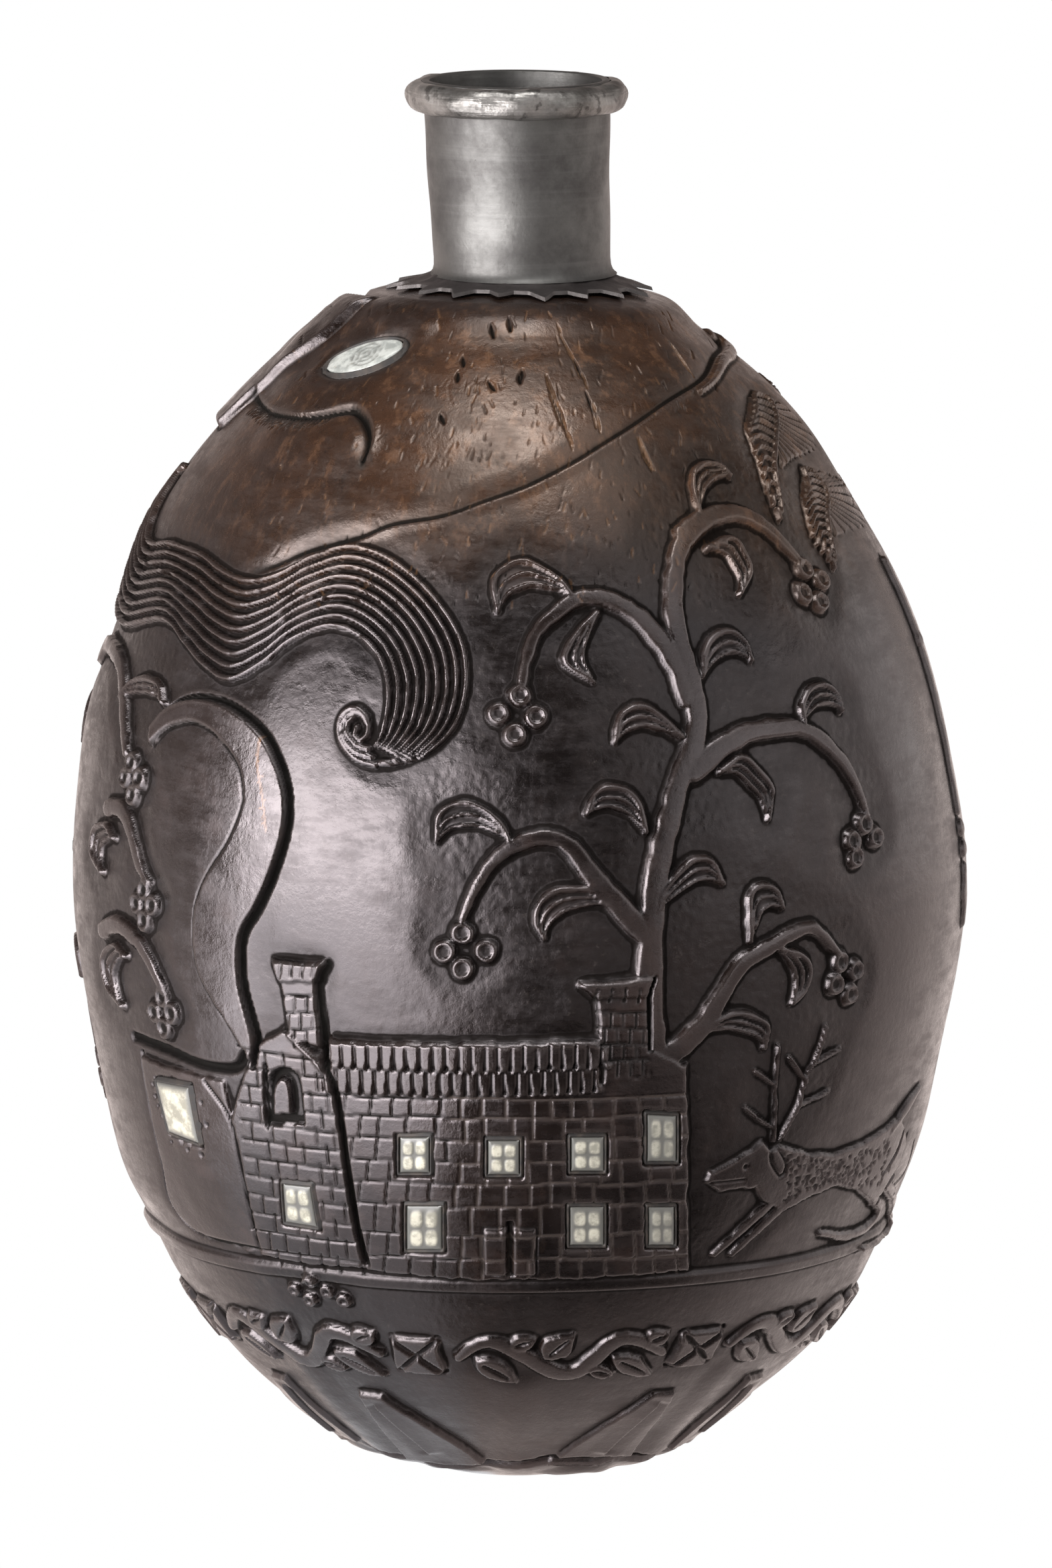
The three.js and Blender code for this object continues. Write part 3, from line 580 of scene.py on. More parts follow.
for pixels in mask["streaks"]:
    brokenStreak(pixels, mask["streakPieces"])
for i in range(mask["fibres"]):
    x, y = [chance.uniform(*span) for span in mask["fibreArea"]]
    long = chance.uniform(3, 13)
    lean = chance.normal((x - photo["middleX"]) * 0.0011, 0.35)
    widths = [0.14, chance.uniform(0.2, 0.32)]
    depth = chance.uniform(0.03, 0.15)
    tick = [(x, y), (x + lean * long, y + long)]
    score(tick, widths, depth, dirtAndShade if i % 3 else fibre, chance.uniform(0.15, 0.5))
jawLine = drawn(mask["jaw"])
stepLine(jawLine, (2.8, -0.5), (1.3, 0.25), -1)
markLine(jawLine + np.array([0.0, 0.35]), 0.8, dirtAndShade, 0.75)
jawEndRidge = jawLine[:int(len(jawLine) * 0.3)] + np.array([0.0, -0.9])
raiseLine(jawEndRidge, [1.7, 1.2, 0.5], top=0.45, crest=0.3, clear=0)

# Tufts of the beard at the right: a spine, a combed lobe at its left and a wing of fine hair at its right
tufts = [
    dict(spine=[(1150, 592), (1161, 615), (1163, 640), (1160, 672), (1159, 704), (1166, 740), (1168, 765)],
         lobe=[(1125, 589), (1117, 631), (1125, 662), (1135, 688), (1145, 724), (1164, 765)],
         wing=[(1153, 590), (1176, 608), (1196, 630), (1216, 654), (1217, 670), (1194, 678), (1172, 694)]),
    dict(spine=[(1212, 698), (1233, 722), (1240, 742), (1238, 765), (1240, 790), (1245, 815), (1248, 838)],
         lobe=[(1204, 705), (1202, 735), (1207, 761), (1215, 792), (1230, 813), (1245, 838)],
         wing=[(1216, 696), (1245, 706), (1268, 717), (1284, 742), (1298, 776), (1281, 786), (1252, 796)]),
]


def carveTuft(tuft, *move):
    spine, lobe, wing = [drawn(tuft[name], *move) for name in ("spine", "lobe", "wing")]
    root = spine[:len(spine) // 2]
    raisePanel(np.vstack([spine, lobe[::-1]]), top=-0.4, clear=0.75, fade=3.5)
    raisePanel(np.vstack([root, wing[::-1]]), top=-0.3, clear=0.5, fade=3.0)
    for start, end in zip(evenly(spine, 13), evenly(lobe, 13)):
        middle = (start + end) / 2 + np.array([0, 0.5])
        lock = curve([start, middle, end - np.array([0, 0.7])])
        raiseLine(lock, [0.4, 0.6, 0.3], top=0.05, crest=0.2, clear=0)
    for start, end in zip(evenly(root, 14), evenly(wing, 14)):
        cutLine(np.array([start, end]), [0.2, 0.5, 0.3], 0.25, into=dirtAndShade, strength=0.6)
    raiseLine(spine, [0.5, 0.6, 0.4], top=0.15, crest=0.2, clear=0)


for tuft in tufts:
    carveTuft(tuft)
    carveTuft(tuft, 2 * noseTurn, True)
print("mask carved")

# House: walls of brick, a shingled roof, chimneys, oven, door and the barn beside it
house = dict(
    wall=[(497, 1600), (506, 1655), (515, 1718), (524, 1780), (537, 1847), (548, 1890), (700, 1904),
          (860, 1903), (1026, 1890), (1024, 1780), (1022, 1593), (967, 1600), (900, 1612), (700, 1618)],
    wing=[(386, 1557), (421, 1535), (440, 1545), (497, 1611), (506, 1655), (515, 1718), (524, 1780),
          (537, 1847), (546, 1888), (460, 1882), (386, 1868), (370, 1790), (356, 1725), (345, 1670),
          (359, 1610)],
    barn=[(203, 1571), (235, 1586), (296, 1604), (330, 1612), (345, 1664), (362, 1736), (388, 1868),
          (300, 1845), (252, 1800), (238, 1736), (216, 1638)],
    barnEave=[(192, 1546), (240, 1566), (296, 1588), (346, 1593), (362, 1572)],
    wingGroove=[(488, 1437), (476, 1468), (479, 1521), (488, 1593), (497, 1611), (506, 1655), (515, 1718),
                (524, 1780), (537, 1847), (547, 1882)],
    barnGroove=[(205, 1571), (216, 1638), (238, 1736), (252, 1794), (292, 1838), (386, 1863)],
    barnStep=[(305, 1611), (341, 1664), (359, 1736), (386, 1856)],
    gable=[(431, 1541), (465, 1574), (499, 1610)],
    leftCap=[(406, 1432), (488, 1437), (476, 1462), (420, 1462)],
    leftShaft=[(421, 1458), (477, 1458), (482, 1560), (430, 1545)],
    rightCap=[(868, 1469), (974, 1457), (966, 1484), (892, 1489)],
    rightShaft=[(891, 1485), (965, 1481), (967, 1602), (900, 1616)],
    slope=[(967, 1563), (1024, 1588), (1022, 1603), (967, 1608)],
    trunkGroove=[(976, 1458), (968, 1484), (969, 1525), (969, 1564)],
    roofLeft=494, roofRight=895, roofTop=1551, shingleRow=37, shingles=21,
    courses=(1630, 1659, 1692, 1724, 1757, 1790, 1832, 1868),
    jointStep=36, wallLeft=500, wallRight=1023, wallTop=1600, wallFoot=1896, wallLean=0.17, bow=7,
    wingCourses=12, wingTop=1568, wingStep=27,
)
raisePanel(straight(house["barn"]), top=-0.12, clear=0.75, fade=3.0)
raisePanel(straight(house["wing"]), top=-0.05, clear=0.75, fade=2.5)
raisePanel(straight(house["wall"]), top=0.1, clear=0.85, fade=3.5)
for name in ("leftShaft", "rightShaft", "slope"):
    raisePanel(straight(house[name]), top=0.12, clear=0.9, fade=3.5)
for name in ("leftCap", "rightCap"):
    raisePanel(straight(house[name]), top=0.4, clear=0.95, fade=3.5)
    left, right, *_ = house[name]
    for i in range(1, 5):
        x = left[0] + (right[0] - left[0]) * i / 5
        score([(x, left[1] + 4), (x - 2, left[1] + 24)], 0.3, 0.25, dirtAndShade, 0.6)
for name, width, depth in (("wingGroove", 1.0, 1.1), ("barnGroove", 0.9, 0.8), ("barnStep", 0.5, 0.5),
                           ("barnEave", 1.3, 0.9)):
    cutLine(drawn(house[name]), width, depth, into=dirtAndShade, strength=0.9)
raiseLine(drawn(house["gable"]), [0.5, 0.6], top=0.4, crest=0.1, clear=0)
cutLine(drawn(house["trunkGroove"]), [0.5, 0.7, 0.5], 0.7, into=dirtAndShade)
roofSizes = ("roofLeft", "roofRight", "roofTop", "shingleRow")
roofLeft, roofRight, roofTop, shingleRow = [house[size] for size in roofSizes]
pitch = (roofRight - roofLeft) / house["shingles"]
roofBottom = roofTop + 2 * shingleRow
roof = [(roofLeft - 3, roofTop), (700, roofTop + 6), (roofRight, roofTop), (roofRight, roofBottom - 4),
        (700, roofBottom), (roofLeft + 4, roofBottom - 8)]
raisePanel(straight(roof), top=0.12, clear=0.85, fade=4.0)
shingleEnd = ((0, -5), (0.25, 1), (0.5, 3), (0.75, 1))  # share of the shingle's width, dip
for row, lift in enumerate((0.5, 0.3)):
    tops = []
    ends = []
    for i in range(house["shingles"] + 1):
        x = roofLeft + pitch * (i - 0.5 * row)
        y = roofTop + shingleRow * row + 6 * math.sin(math.pi * min(i / house["shingles"], 1))
        tops.append((x, y))
        ends += [(x + pitch * share, y + shingleRow + dip) for share, dip in shingleEnd]
        score([(x, y + 3), (x, y + shingleRow - 1)], [0.22, 0.3, 0.5], 0.45)
    raisePanel(straight(tops + ends[::-1]), top=lift, clear=0, fade=0.5)


def courseLine(y, left, parts=12):
    points = []
    for share in [i / parts for i in range(parts + 1)]:
        sag = house["bow"] * math.sin(math.pi * share)
        points.append((left + (house["wallRight"] - left) * share, y + sag + chance.uniform(-2.5, 2.5)))
    return drawn(points)


for i, (y, below) in enumerate(zip(house["courses"], house["courses"][1:] + (house["wallFoot"],))):
    left = house["wallLeft"] + (y - house["wallTop"]) * house["wallLean"]
    course = courseLine(y, left)
    cutLine(course, 0.28, 0.24)
    markLine(course[:len(course) // 3], 0.3, dirtAndShade, 0.7)
    markLine(course[len(course) // 3:], 0.26, pale, 0.75)
    x = left + 12 + (i % 2) * house["jointStep"] / 2
    while x < house["wallRight"] - 7:
        across = (x - house["wallLeft"]) / (house["wallRight"] - house["wallLeft"])
        bow = house["bow"] * math.sin(math.pi * across)
        lean = (x - photo["middleX"]) * 0.012
        score([(x, y + bow), (x + lean, below + bow)], 0.28, 0.24, pale if x > 670 else dirtAndShade, 0.6)
        x += house["jointStep"] * chance.uniform(0.75, 1.25)
for i in range(house["wingCourses"]):
    y = house["wingTop"] + house["wingStep"] * i
    shift = (y - 1560) * 0.13
    course = drawn([(350 + shift * 0.7, y - 8), (430 + shift, y + 6), (500 + shift, y + 14)])
    cutLine(course, 0.34, 0.26, into=dirtAndShade, strength=0.5)
    for j in range(5):
        x = 362 + shift + 30 * j + 15 * (i % 2) + chance.uniform(-4, 4)
        score([(x, y - 4 + 3 * j), (x + 3, y + 23 + 3 * j)], 0.34, 0.26, dirtAndShade, 0.5)
for name, count in (("leftShaft", 4), ("rightShaft", 5)):
    (x0, y0), (x1, _), (_, y2), _ = house[name]
    for i in range(1, count):
        y = y0 + (y2 - y0) * i / count
        score([(x0, y), (x1, y)], 0.32, 0.24, dirtAndShade, 0.7)
        for x in np.arange(x0 + 10 + 9 * (i % 2), x1, 19):
            score([(x, y), (x, y + (y2 - y0) / count)], 0.32, 0.24, dirtAndShade, 0.7)

# Oven arch in the wing
oven = dict(
    arch=[(398, 1676), (397, 1640), (399, 1610), (409, 1594), (424, 1589), (439, 1595), (448, 1612),
          (452, 1640), (456, 1674)],
    dome=[(404, 1660), (404, 1628), (409, 1611), (419, 1604), (429, 1610), (434, 1628), (436, 1662)],
    jamb=[(396, 1588), (396, 1630), (399, 1678)],
)
place, dist, _, _, deg = reachTo(drawn(oven["arch"]), 3.0)
within = insideOf(drawn(oven["arch"]), place, deg)
lay(cut, place, unit(dist / 0.25) * within)
# Painted shade: the arch's opening is coloured dark, and the dome inside is cleared of it below
lay(dirtAndShade, place, 0.8 * within)
place, dist, _, _, deg = reachTo(drawn(oven["dome"]), 2.0)
within = insideOf(drawn(oven["dome"]), place, deg)
cut[place] -= 0.85 * unit(dist / 0.35) * within
dirtAndShade[place] *= 1 - within
cutLine(drawn(oven["jamb"]), 0.6, 0.9, into=dirtAndShade)

# Door of two leaves
door = dict(leaves=((721, 757), (763, 799)), top=1828, bottom=1896, gap=[(760, 1822), (760, 1898)])
score(door["gap"], 1.0, 0.8)
for x0, x1 in door["leaves"]:
    corners = [(x0, door["top"]), (x1, door["top"]), (x1, door["bottom"]), (x0, door["bottom"])]
    raisePanel(straight(corners), top=0.5, clear=0, fade=0.5)
    score(closed(corners), 0.4, 0.35)
print("house carved")

# Stag beside the house: outlined body, legs and antlers, with a pitted hide
stag = dict(
    body=[(1150, 1716), (1165, 1707), (1201, 1720), (1243, 1720), (1289, 1703), (1323, 1682), (1345, 1660),
          (1352, 1700), (1330, 1760), (1300, 1790), (1280, 1772), (1248, 1766), (1209, 1781), (1170, 1802),
          (1140, 1790), (1128, 1768), (1075, 1774), (1054, 1762), (1060, 1748), (1083, 1737), (1138, 1703)],
    ear=[(1150, 1712), (1149, 1730), (1163, 1752), (1172, 1735), (1160, 1712)],
    legs=[
        [(1167, 1798), (1140, 1824), (1117, 1846), (1092, 1870)],
        [(1155, 1788), (1110, 1830), (1066, 1869)],
        [(1300, 1780), (1312, 1800), (1296, 1826), (1262, 1842), (1224, 1838)],
        [(1325, 1765), (1332, 1800), (1310, 1836), (1280, 1856)],
    ],
    legWidths=[1.3, 1.0, 0.7],
    antlers=[
        [(1155, 1700), (1158, 1660), (1159, 1619), (1163, 1560)],
        [(1113, 1652), (1132, 1668), (1152, 1680)],
        [(1129, 1598), (1144, 1608), (1158, 1618)],
        [(1163, 1700), (1180, 1672), (1193, 1648), (1201, 1619), (1214, 1589), (1256, 1564)],
        [(1193, 1648), (1214, 1640), (1239, 1627)],
        [(1180, 1577), (1192, 1594), (1205, 1612)],
        [(1235, 1530), (1226, 1560), (1214, 1589)],
    ],
    antlerWidths=[0.42, 0.38, 0.3],
    tail=[(1330, 1684), (1348, 1660), (1366, 1634), (1374, 1622)],
    haunch=[
        [(1358, 1690), (1346, 1726), (1322, 1764), (1304, 1796)],
        [(1348, 1684), (1336, 1716), (1314, 1750)],
        [(1366, 1700), (1354, 1740), (1332, 1776)],
    ],
    mouth=[(1060, 1762), (1085, 1760), (1110, 1756)], eye=(1112, 1738), spots=240,
    back=[(1168, 1716), (1243, 1730), (1325, 1694)],
    belly=[(1168, 1792), (1209, 1772), (1248, 1758), (1300, 1774), (1325, 1750)],
)
raisePanel(straight(stag["body"]), top=-0.05, clear=0.65, fade=5.0)
for pixels in stag["legs"]:
    raiseLine(drawn(pixels), stag["legWidths"], top=-0.1, clear=0.75, fade=4.5)
for pixels in stag["antlers"]:
    raiseLine(drawn(pixels), stag["antlerWidths"], top=-0.05, crest=0.2, clear=0.8, fade=4.5)
raiseLine(drawn(stag["tail"]), [0.9, 1.5, 1.0], top=0.1, crest=0.2, clear=0.7, fade=3.0)
for pixels in stag["haunch"]:
    cutLine(drawn(pixels), [0.4, 0.9, 0.4], 0.4, into=dirtAndShade, strength=0.7)
cutLine(drawn(closed(stag["ear"])), 0.4, 0.3)
cutLine(drawn(stag["mouth"]), 0.3, 0.25)
dot(stag["eye"], 0.4, 0.3)
for i in range(stag["spots"]):
    x = chance.uniform(stag["back"][0][0], stag["back"][-1][0])
    upper, lower = [np.interp(x, *zip(*stag[name])) for name in ("back", "belly")]
    dot((x, chance.uniform(upper, lower)), chance.uniform(0.2, 0.3), 0.2)
print("stag carved")

# Ledge under the house, the band below it and the leaves round the foot
ledge = dict(low=25.6, high=27.3, proud=0.55)
rise = fadeIn(rowZ, ledge["low"], 0.5) * fadeIn(-rowZ, -ledge["high"] - 0.3, 0.6)
swell += (ledge["proud"] * ease(rise))[:, None]
band = dict(
    height=18.0, square=5.0, squares=7, first=-17.5, vine=(4.4, 26.0), vineWidths=[1.0, 1.9, 1.9, 1.9, 1.0],
    wave=2.5, berries=[(437, 1922), (462, 1908), (486, 1924), (512, 1938), (460, 1936)], berryRadius=0.75,
)


def atBand(degrees, x, y):
    row = np.interp(band["height"], rowZ, rowT)
    radius = np.interp(row + y, rowT, rowR)
    return (degrees + math.degrees(x / radius), row + y)


def bandLeaf(degrees, x, y, lean, length, half):
    ahead = np.array([math.cos(lean), math.sin(lean)])
    across = np.array([-ahead[1], ahead[0]])
    share = np.linspace(0, 1, 11)
    swing = half * np.sin(math.pi * share ** 0.8)
    spine = np.array([x, y]) + ahead * length * share[:, None]
    sides = np.vstack([spine + across * swing[:, None], (spine - across * swing[:, None])[::-1]])
    raisePanel([atBand(degrees, *point) for point in sides], top=0.2, clear=0.7, fade=2.6)
    cutLine(np.array([atBand(degrees, *point) for point in spine[2:9]]), [0.3, 0.6, 0.3], 0.4)


for i in range(band["squares"]):
    degrees = band["first"] + 360 / band["squares"] * i
    half = band["square"] / 2
    corners = [atBand(degrees, x * half, y * half) for x, y in ((-1, -1), (1, -1), (1, 1), (-1, 1))]
    raisePanel(corners, top=0.2, clear=0.75, fade=2.6)
    for a, b in ((0, 2), (1, 3)):
        cutLine(np.array([corners[a], corners[b]]), 0.9, 0.55)
    first, last = band["vine"]
    xs = np.linspace(first, last, 25)
    waves = band["wave"] * np.sin((xs - first) / (last - first) * 3 * math.pi)
    vine = curve([atBand(degrees, x, y) for x, y in zip(xs, waves)])
    raiseLine(vine, band["vineWidths"], top=0.15, crest=0.1, clear=0.7, fade=2.2)
    for j in range(3):
        x = first + (last - first) * (2 * j + 1) / 6
        up = -1 if j % 2 else 1
        bandLeaf(degrees, x - 1.9, -up * 0.2, -up * 0.72, 4.9, 1.45)
        bandLeaf(degrees, x + 2.2, up * 1.9, up * 0.35, 3.0, 1.0)
for x, y in band["berries"]:
    carveRing((x, y), band["berryRadius"])

# Star of eight leaves that stand up from the foot, cut off below by a crevice
star = dict(rays=8, first=-22.0, tip=12.6, crevice=4.6, tipHalf=2.6, footHalf=13.0, bend=9.0)


def atFoot(degrees, height):
    return (degrees, np.interp(height, rowZ, rowT))


for i in range(star["rays"]):
    degrees = star["first"] + 360 / star["rays"] * i
    bend = star["bend"] if i % 2 else -star["bend"]
    left, right = degrees - star["footHalf"], degrees + star["footHalf"]
    tipLeft, tipRight = degrees + bend - star["tipHalf"], degrees + bend + star["tipHalf"]
    outline = [atFoot(left, star["crevice"]), atFoot(right, star["crevice"]), atFoot(tipRight, star["tip"]),
               atFoot(tipLeft, star["tip"])]
    raisePanel(outline, top=0.15 + 0.2 * (i % 3 == 0), clear=0.45, fade=6.0)
    fold = [atFoot(degrees + bend * 0.3, star["crevice"] + 1), atFoot(degrees + bend, star["tip"] - 0.8)]
    stepLine(np.array(fold), (2.4, 0.3), (2.0, -0.35), 1 if i % 2 else -1)
    between = degrees + 180 / star["rays"]
    swellLine(np.array([atFoot(between, 3.0), atFoot(between, 14.0)]), 3.5, 0.35)
    petal = [atFoot(degrees - 20, 0.9), atFoot(degrees, 3.9), atFoot(degrees + 20, 0.9)]
    swellLine(curve(petal), 2.2, 0.55)
around = np.arange(-180, 181, 2.0)
wave = np.interp(star["crevice"], rowZ, rowT) + 0.9 * np.sin(np.radians(around * star["rays"] / 2 + 20))
cutLine(np.column_stack([around, wave]), 1.3, 0.9)
print("band and foot carved")

# Inlays: their corners in the photograph; the eye is an almond between its ends
panes = dict(
    upper_1=[(599, 1744), (638, 1744), (638, 1696), (599, 1696)],
    upper_2=[(730, 1747), (772, 1747), (772, 1701), (730, 1701)],
    upper_3=[(854, 1742), (898, 1742), (898, 1696), (854, 1696)],
    upper_4=[(967, 1728), (1006, 1728), (1006, 1664), (967, 1662)],
    lower_1=[(609, 1859), (657, 1859), (657, 1797), (609, 1797)],
    lower_2=[(852, 1852), (898, 1852), (898, 1799), (852, 1799)],
    lower_3=[(969, 1852), (1003, 1852), (1003, 1799), (969, 1799)],
    wing=[(428, 1818), (471, 1825), (462, 1769), (424, 1765)],
    barn=[(254, 1684), (296, 1700), (281, 1622), (236, 1613)],
)
inlay = dict(
    thickness=1.1, dome=0.22, face=0.12, bed=0.5, lip=0.2, spread=0.2, eyeSpread=0.1, floor=1.35,
    recess=2.2, steps=28, chips=60,
    gleam=dict(window_lower_1=0.85, window_upper_2=0.8, window_upper_3=0.75, window_upper_4=0.5,
               window_lower_2=0.7, window_lower_3=0.45),
)
eye = dict(left=(485, 549), right=(598, 519), height=4.6, blunt=0.62)


def paneAt(corners, margin=0.0):
    a, b, c, d = corners

    def at(u, v):
        low = a + (b - a) * u
        high = d + (c - d) * u
        return low + (high - low) * v

    centre = at(0.5, 0.5)
    radius = math.radians(1) * np.interp(centre[1], rowT, rowR)
    wide = abs((b - a)[0]) * radius
    high = abs((d - a)[1])
    wider = 1 + 2 * margin / wide
    higher = 1 + 2 * margin / high
    return lambda u, v: at(0.5 + (u - 0.5) * wider, 0.5 + (v - 0.5) * higher)


def almondAt(left, right, margin=0.0):
    centre = (left + right) / 2
    radius = math.radians(1) * np.interp(centre[1], rowT, rowR)
    axis = np.array([(right - left)[0] * radius, (right - left)[1]])
    length = np.hypot(*axis)
    axis = axis / length
    normal = np.array([-axis[1], axis[0]])

    def at(u, v):
        x = (u - 0.5) * (length + 2.6 * margin)
        half = (eye["height"] / 2 + margin) * (1 - (2 * u - 1) ** 2) ** eye["blunt"]
        move = axis * x + normal * ((2 * v - 1) * half)
        return centre + np.array([move[0] / radius, move[1]])

    return at


settings = {}
for name, corners in panes.items():
    settings["window_" + name] = (paneAt, (straight(corners),))
eyeLine = straight([eye["left"], eye["right"]])
settings["eye_front"] = (almondAt, tuple(eyeLine))
backLine = eyeLine[::-1].copy()
backLine[:, 0] = 2 * noseTurn - backLine[:, 0]
settings["eye_back"] = (almondAt, tuple(backLine))


def spreadOf(maker):
    return inlay["eyeSpread"] if maker is almondAt else inlay["spread"]


recess = np.zeros(shape)
for maker, ends in settings.values():
    at = maker(*ends, margin=inlay["lip"] + 0.12 + spreadOf(maker))
    u = np.linspace(0, 1, 25)
    if maker is paneAt:
        outline = np.array([at(x, y) for x, y in ((0, 0), (1, 0), (1, 1), (0, 1))])
    else:
        outline = np.array([at(x, 0) for x in u] + [at(x, 1) for x in u[::-1]])
    place, edge = edgeOf(outline, 4.0)
    lay(recess, place, unit(0.5 - edge / 0.3))
    if maker is almondAt:
        lay(sink, place, 0.8 * fadeOut(edge / 2.2))
        # A dark ring round the eye's recess: painted shade in its groove
        lay(dirtAndShade, place, 0.8 * unit(1 - np.abs(edge) / 0.9))
for i in range(inlay["chips"]):
    (x0, y0), (x1, y1) = [panes["barn"][j % 4] for j in (i, i + 1)]
    share = chance.uniform(0, 1)
    spot = (x0 + (x1 - x0) * share + chance.normal(0, 7), y0 + (y1 - y0) * share + chance.normal(0, 7))
    dot(spot, chance.uniform(0.25, 0.45), 0.25)
markLine(straight(closed(panes["barn"])), 2.0, dirtAndShade, 0.7)

# Seat: the crown is flatter under the flange, up to an edge that runs out on the oval
seat = dict(hole=9.55, edge=16.0, foot=18.4, lift=1.3)


def crownHeight(radius):
    return girthHeight + nut["crown"] * np.sqrt(1 - (radius / nut["girth"]) ** 2)


def seatHeight(radius):
    ends = [seat["hole"], seat["edge"]]
    return np.interp(radius, ends, [crownHeight(ends[0]), crownHeight(ends[1]) + seat["lift"]])


def seatProfile():
    radii = np.linspace(seat["hole"], seat["edge"], 30)
    over = seatHeight(radii) - crownHeight(radii)
    return np.append(radii, [17.2, seat["foot"], 19.6]), np.append(over, [0.75 * seat["lift"], 0.3, 0.0])


def seatTilt(turn):
    return 0.27 + 0.4 * np.cos(turn) - 0.3 * np.sin(turn) + 0.13 * np.cos(2 * turn)


# Body: where the nut stands out from the oval or falls short of it: degrees, height, reach of each, lift
bulges = [
    (-88, 122.5, 20, 3.0, 0.7), (82, 111.0, 9, 5.0, 0.5), (-92, 101.0, 26, 8.0, 1.2),
    (-95, 82.0, 26, 7.0, 0.6), (-92, 45.0, 30, 12.0, -0.9), (-75, 27.0, 14, 4.0, -0.9),
    (92, 121.5, 34, 5.0, -0.7), (92, 106.0, 34, 12.0, -0.6), (92, 65.0, 30, 8.0, 0.6),
    (92, 45.5, 26, 8.0, -0.7), (88, 18.0, 26, 8.0, 1.2), (38, 2.5, 30, 3.0, 0.9), (0, 2.5, 70, 2.5, 1.2),
    (17, 1.6, 24, 1.2, 1.8),
]
body = np.zeros(shape)
for degrees, at, reachDegrees, reachHeight, lift in bulges:
    away = (colDeg - degrees + 180) % 360 - 180
    upward = np.exp(-((rowZ - at) / reachHeight) ** 2)
    body += lift * upward[:, None] * np.exp(-(away / reachDegrees) ** 2)[None]
seatRows = np.convolve(np.pad(np.interp(rowR, *seatProfile()), 7, mode="edge"), np.ones(15) / 15, "valid")
tiltRows = np.interp(rowR, [seat["hole"], 14.2, 16.5, 18.5], [0, 1, 0.5, 0])
seatLift = seatRows[:, None] + tiltRows[:, None] * seatTilt(np.radians(colDeg))[None]
seatLift *= (rowOutZ * (rowZ > girthHeight))[:, None]
order = np.argsort(jawLine[:, 0])
jawEnd = (jawLine[order[0], 1] + jawLine[order[-1], 1]) / 2
jawRow = np.interp(colDeg, np.concatenate([[-180], jawLine[order, 0], [180]]),
                   np.concatenate([[jawEnd], jawLine[order, 1], [jawEnd]]))

# Brown of the crown: how far below the jaw it reaches and how strong it is, by degrees
crownBrown = dict(
    reach=((-180, 16.0), (-130, 10.0), (-60, 9.0), (-5, 14.0), (10, 17.0), (50, 34.0), (120, 30.0),
           (180, 16.0)),
    strength=((-170, 1.0), (-110, 0.4), (-75, 0.4), (-45, 0.6), (-15, 1.0)), fade=16.0,
)
warmReach = np.interp(colDeg, *zip(*crownBrown["reach"]))
warm = ease((rowT[:, None] - jawRow[None] + warmReach[None]) / crownBrown["fade"])
warm = warm * np.interp(colDeg, *zip(*crownBrown["strength"]))[None]
collar = fadeIn(-rowR, -18.5, 4.0) * fadeIn(rowZ, girthHeight, 10)
warm = warm * (1 - 0.7 * collar)[:, None]
place, edge = edgeOf(bridge, 1.0)
warm[place] *= np.where(edge < 0, 0.2, 1)

# Surface: figures over the ground, worn and uneven
surface = dict(groundLumps=0.004, groundGrain=0.024, figureLumps=0.008, lumps=0.004, hills=0.05, cavity=0.22,
               wide=0.5)
grain = roughness(1)
lumps = roughness(5, 4)
hills = roughness(40, 40, 30)
near = blurred(sink, 9, 9)
far = blurred(sink, 26, 26, 26)
sink = far + (near - far) * ease((near - 0.3) / 0.4)
ground = -sink * (1 + surface["groundLumps"] * lumps)
ground -= np.clip(sink - 0.3, 0, 0.6) * surface["groundGrain"] * grain
relief = np.maximum(ground, figureTop + surface["figureLumps"] * lumps)
# Cut-down ground, which the coconut's colour darkens as painted shade and stipples
isGround = fadeIn(ground, figureTop, 0.1) * unit(sink / 0.75)
height = relief + swell - cut + surface["lumps"] * lumps + surface["hills"] * hills
edgeTaper = fadeIn(rowR, 15.0, 4.0) * fadeIn(rowZ, 0, 4.0)
footTaper = fadeIn(rowR, 14.5, 3.0) * fadeIn(rowZ, 0, 2.5)
bodyTaper = fadeIn(rowR, 14.0, 5.0) * fadeIn(rowZ, 0, 3.0)
height = height * footTaper[:, None] + (nut["proud"] * edgeTaper)[:, None]
height += body * bodyTaper[:, None] + seatLift
height = height * (1 - recess) + recess * np.minimum(height, -inlay["recess"] + nut["proud"])
# Curvature and broad relief: the coconut's colour paints highlight on what stands out and shade in what is
# sunk
cavity = np.clip((height - blur(height, 3)) / surface["cavity"], -1, 1) * (1 - 0.6 * recess)
wide = np.clip((height - blurred(height, 9, 9)) / surface["wide"], -1, 1)
layers = dict(cavity=cavity, wide=wide, sunk=isGround, fibre=fibre, pale=pale, warm=warm, dirtAndShade=dirtAndShade)
print("surface set", float(height.min()), float(height.max()))


def nutPoint(degrees, t, lift):
    r, z, outR, outZ = [np.interp(t, rowT, values) for values in (rowR, rowZ, rowOutR, rowOutZ)]
    turn = np.radians(degrees)
    radius = r + lift * outR
    return np.stack([radius * np.sin(turn), -radius * np.cos(turn), z + lift * outZ], -1) * mm


def newObject(name, bm, material, nodes, slot):
    mesh = bpy.data.meshes.new(name)
    bm.to_mesh(mesh)
    bm.free()
    piece = bpy.data.objects.new(name, mesh)
    bpy.context.collection.objects.link(piece)
    mesh.polygons.foreach_set("use_smooth", [True] * len(mesh.polygons))
    mesh.materials.append(material)
    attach(piece, "root")
    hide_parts(*nodes)
    return piece


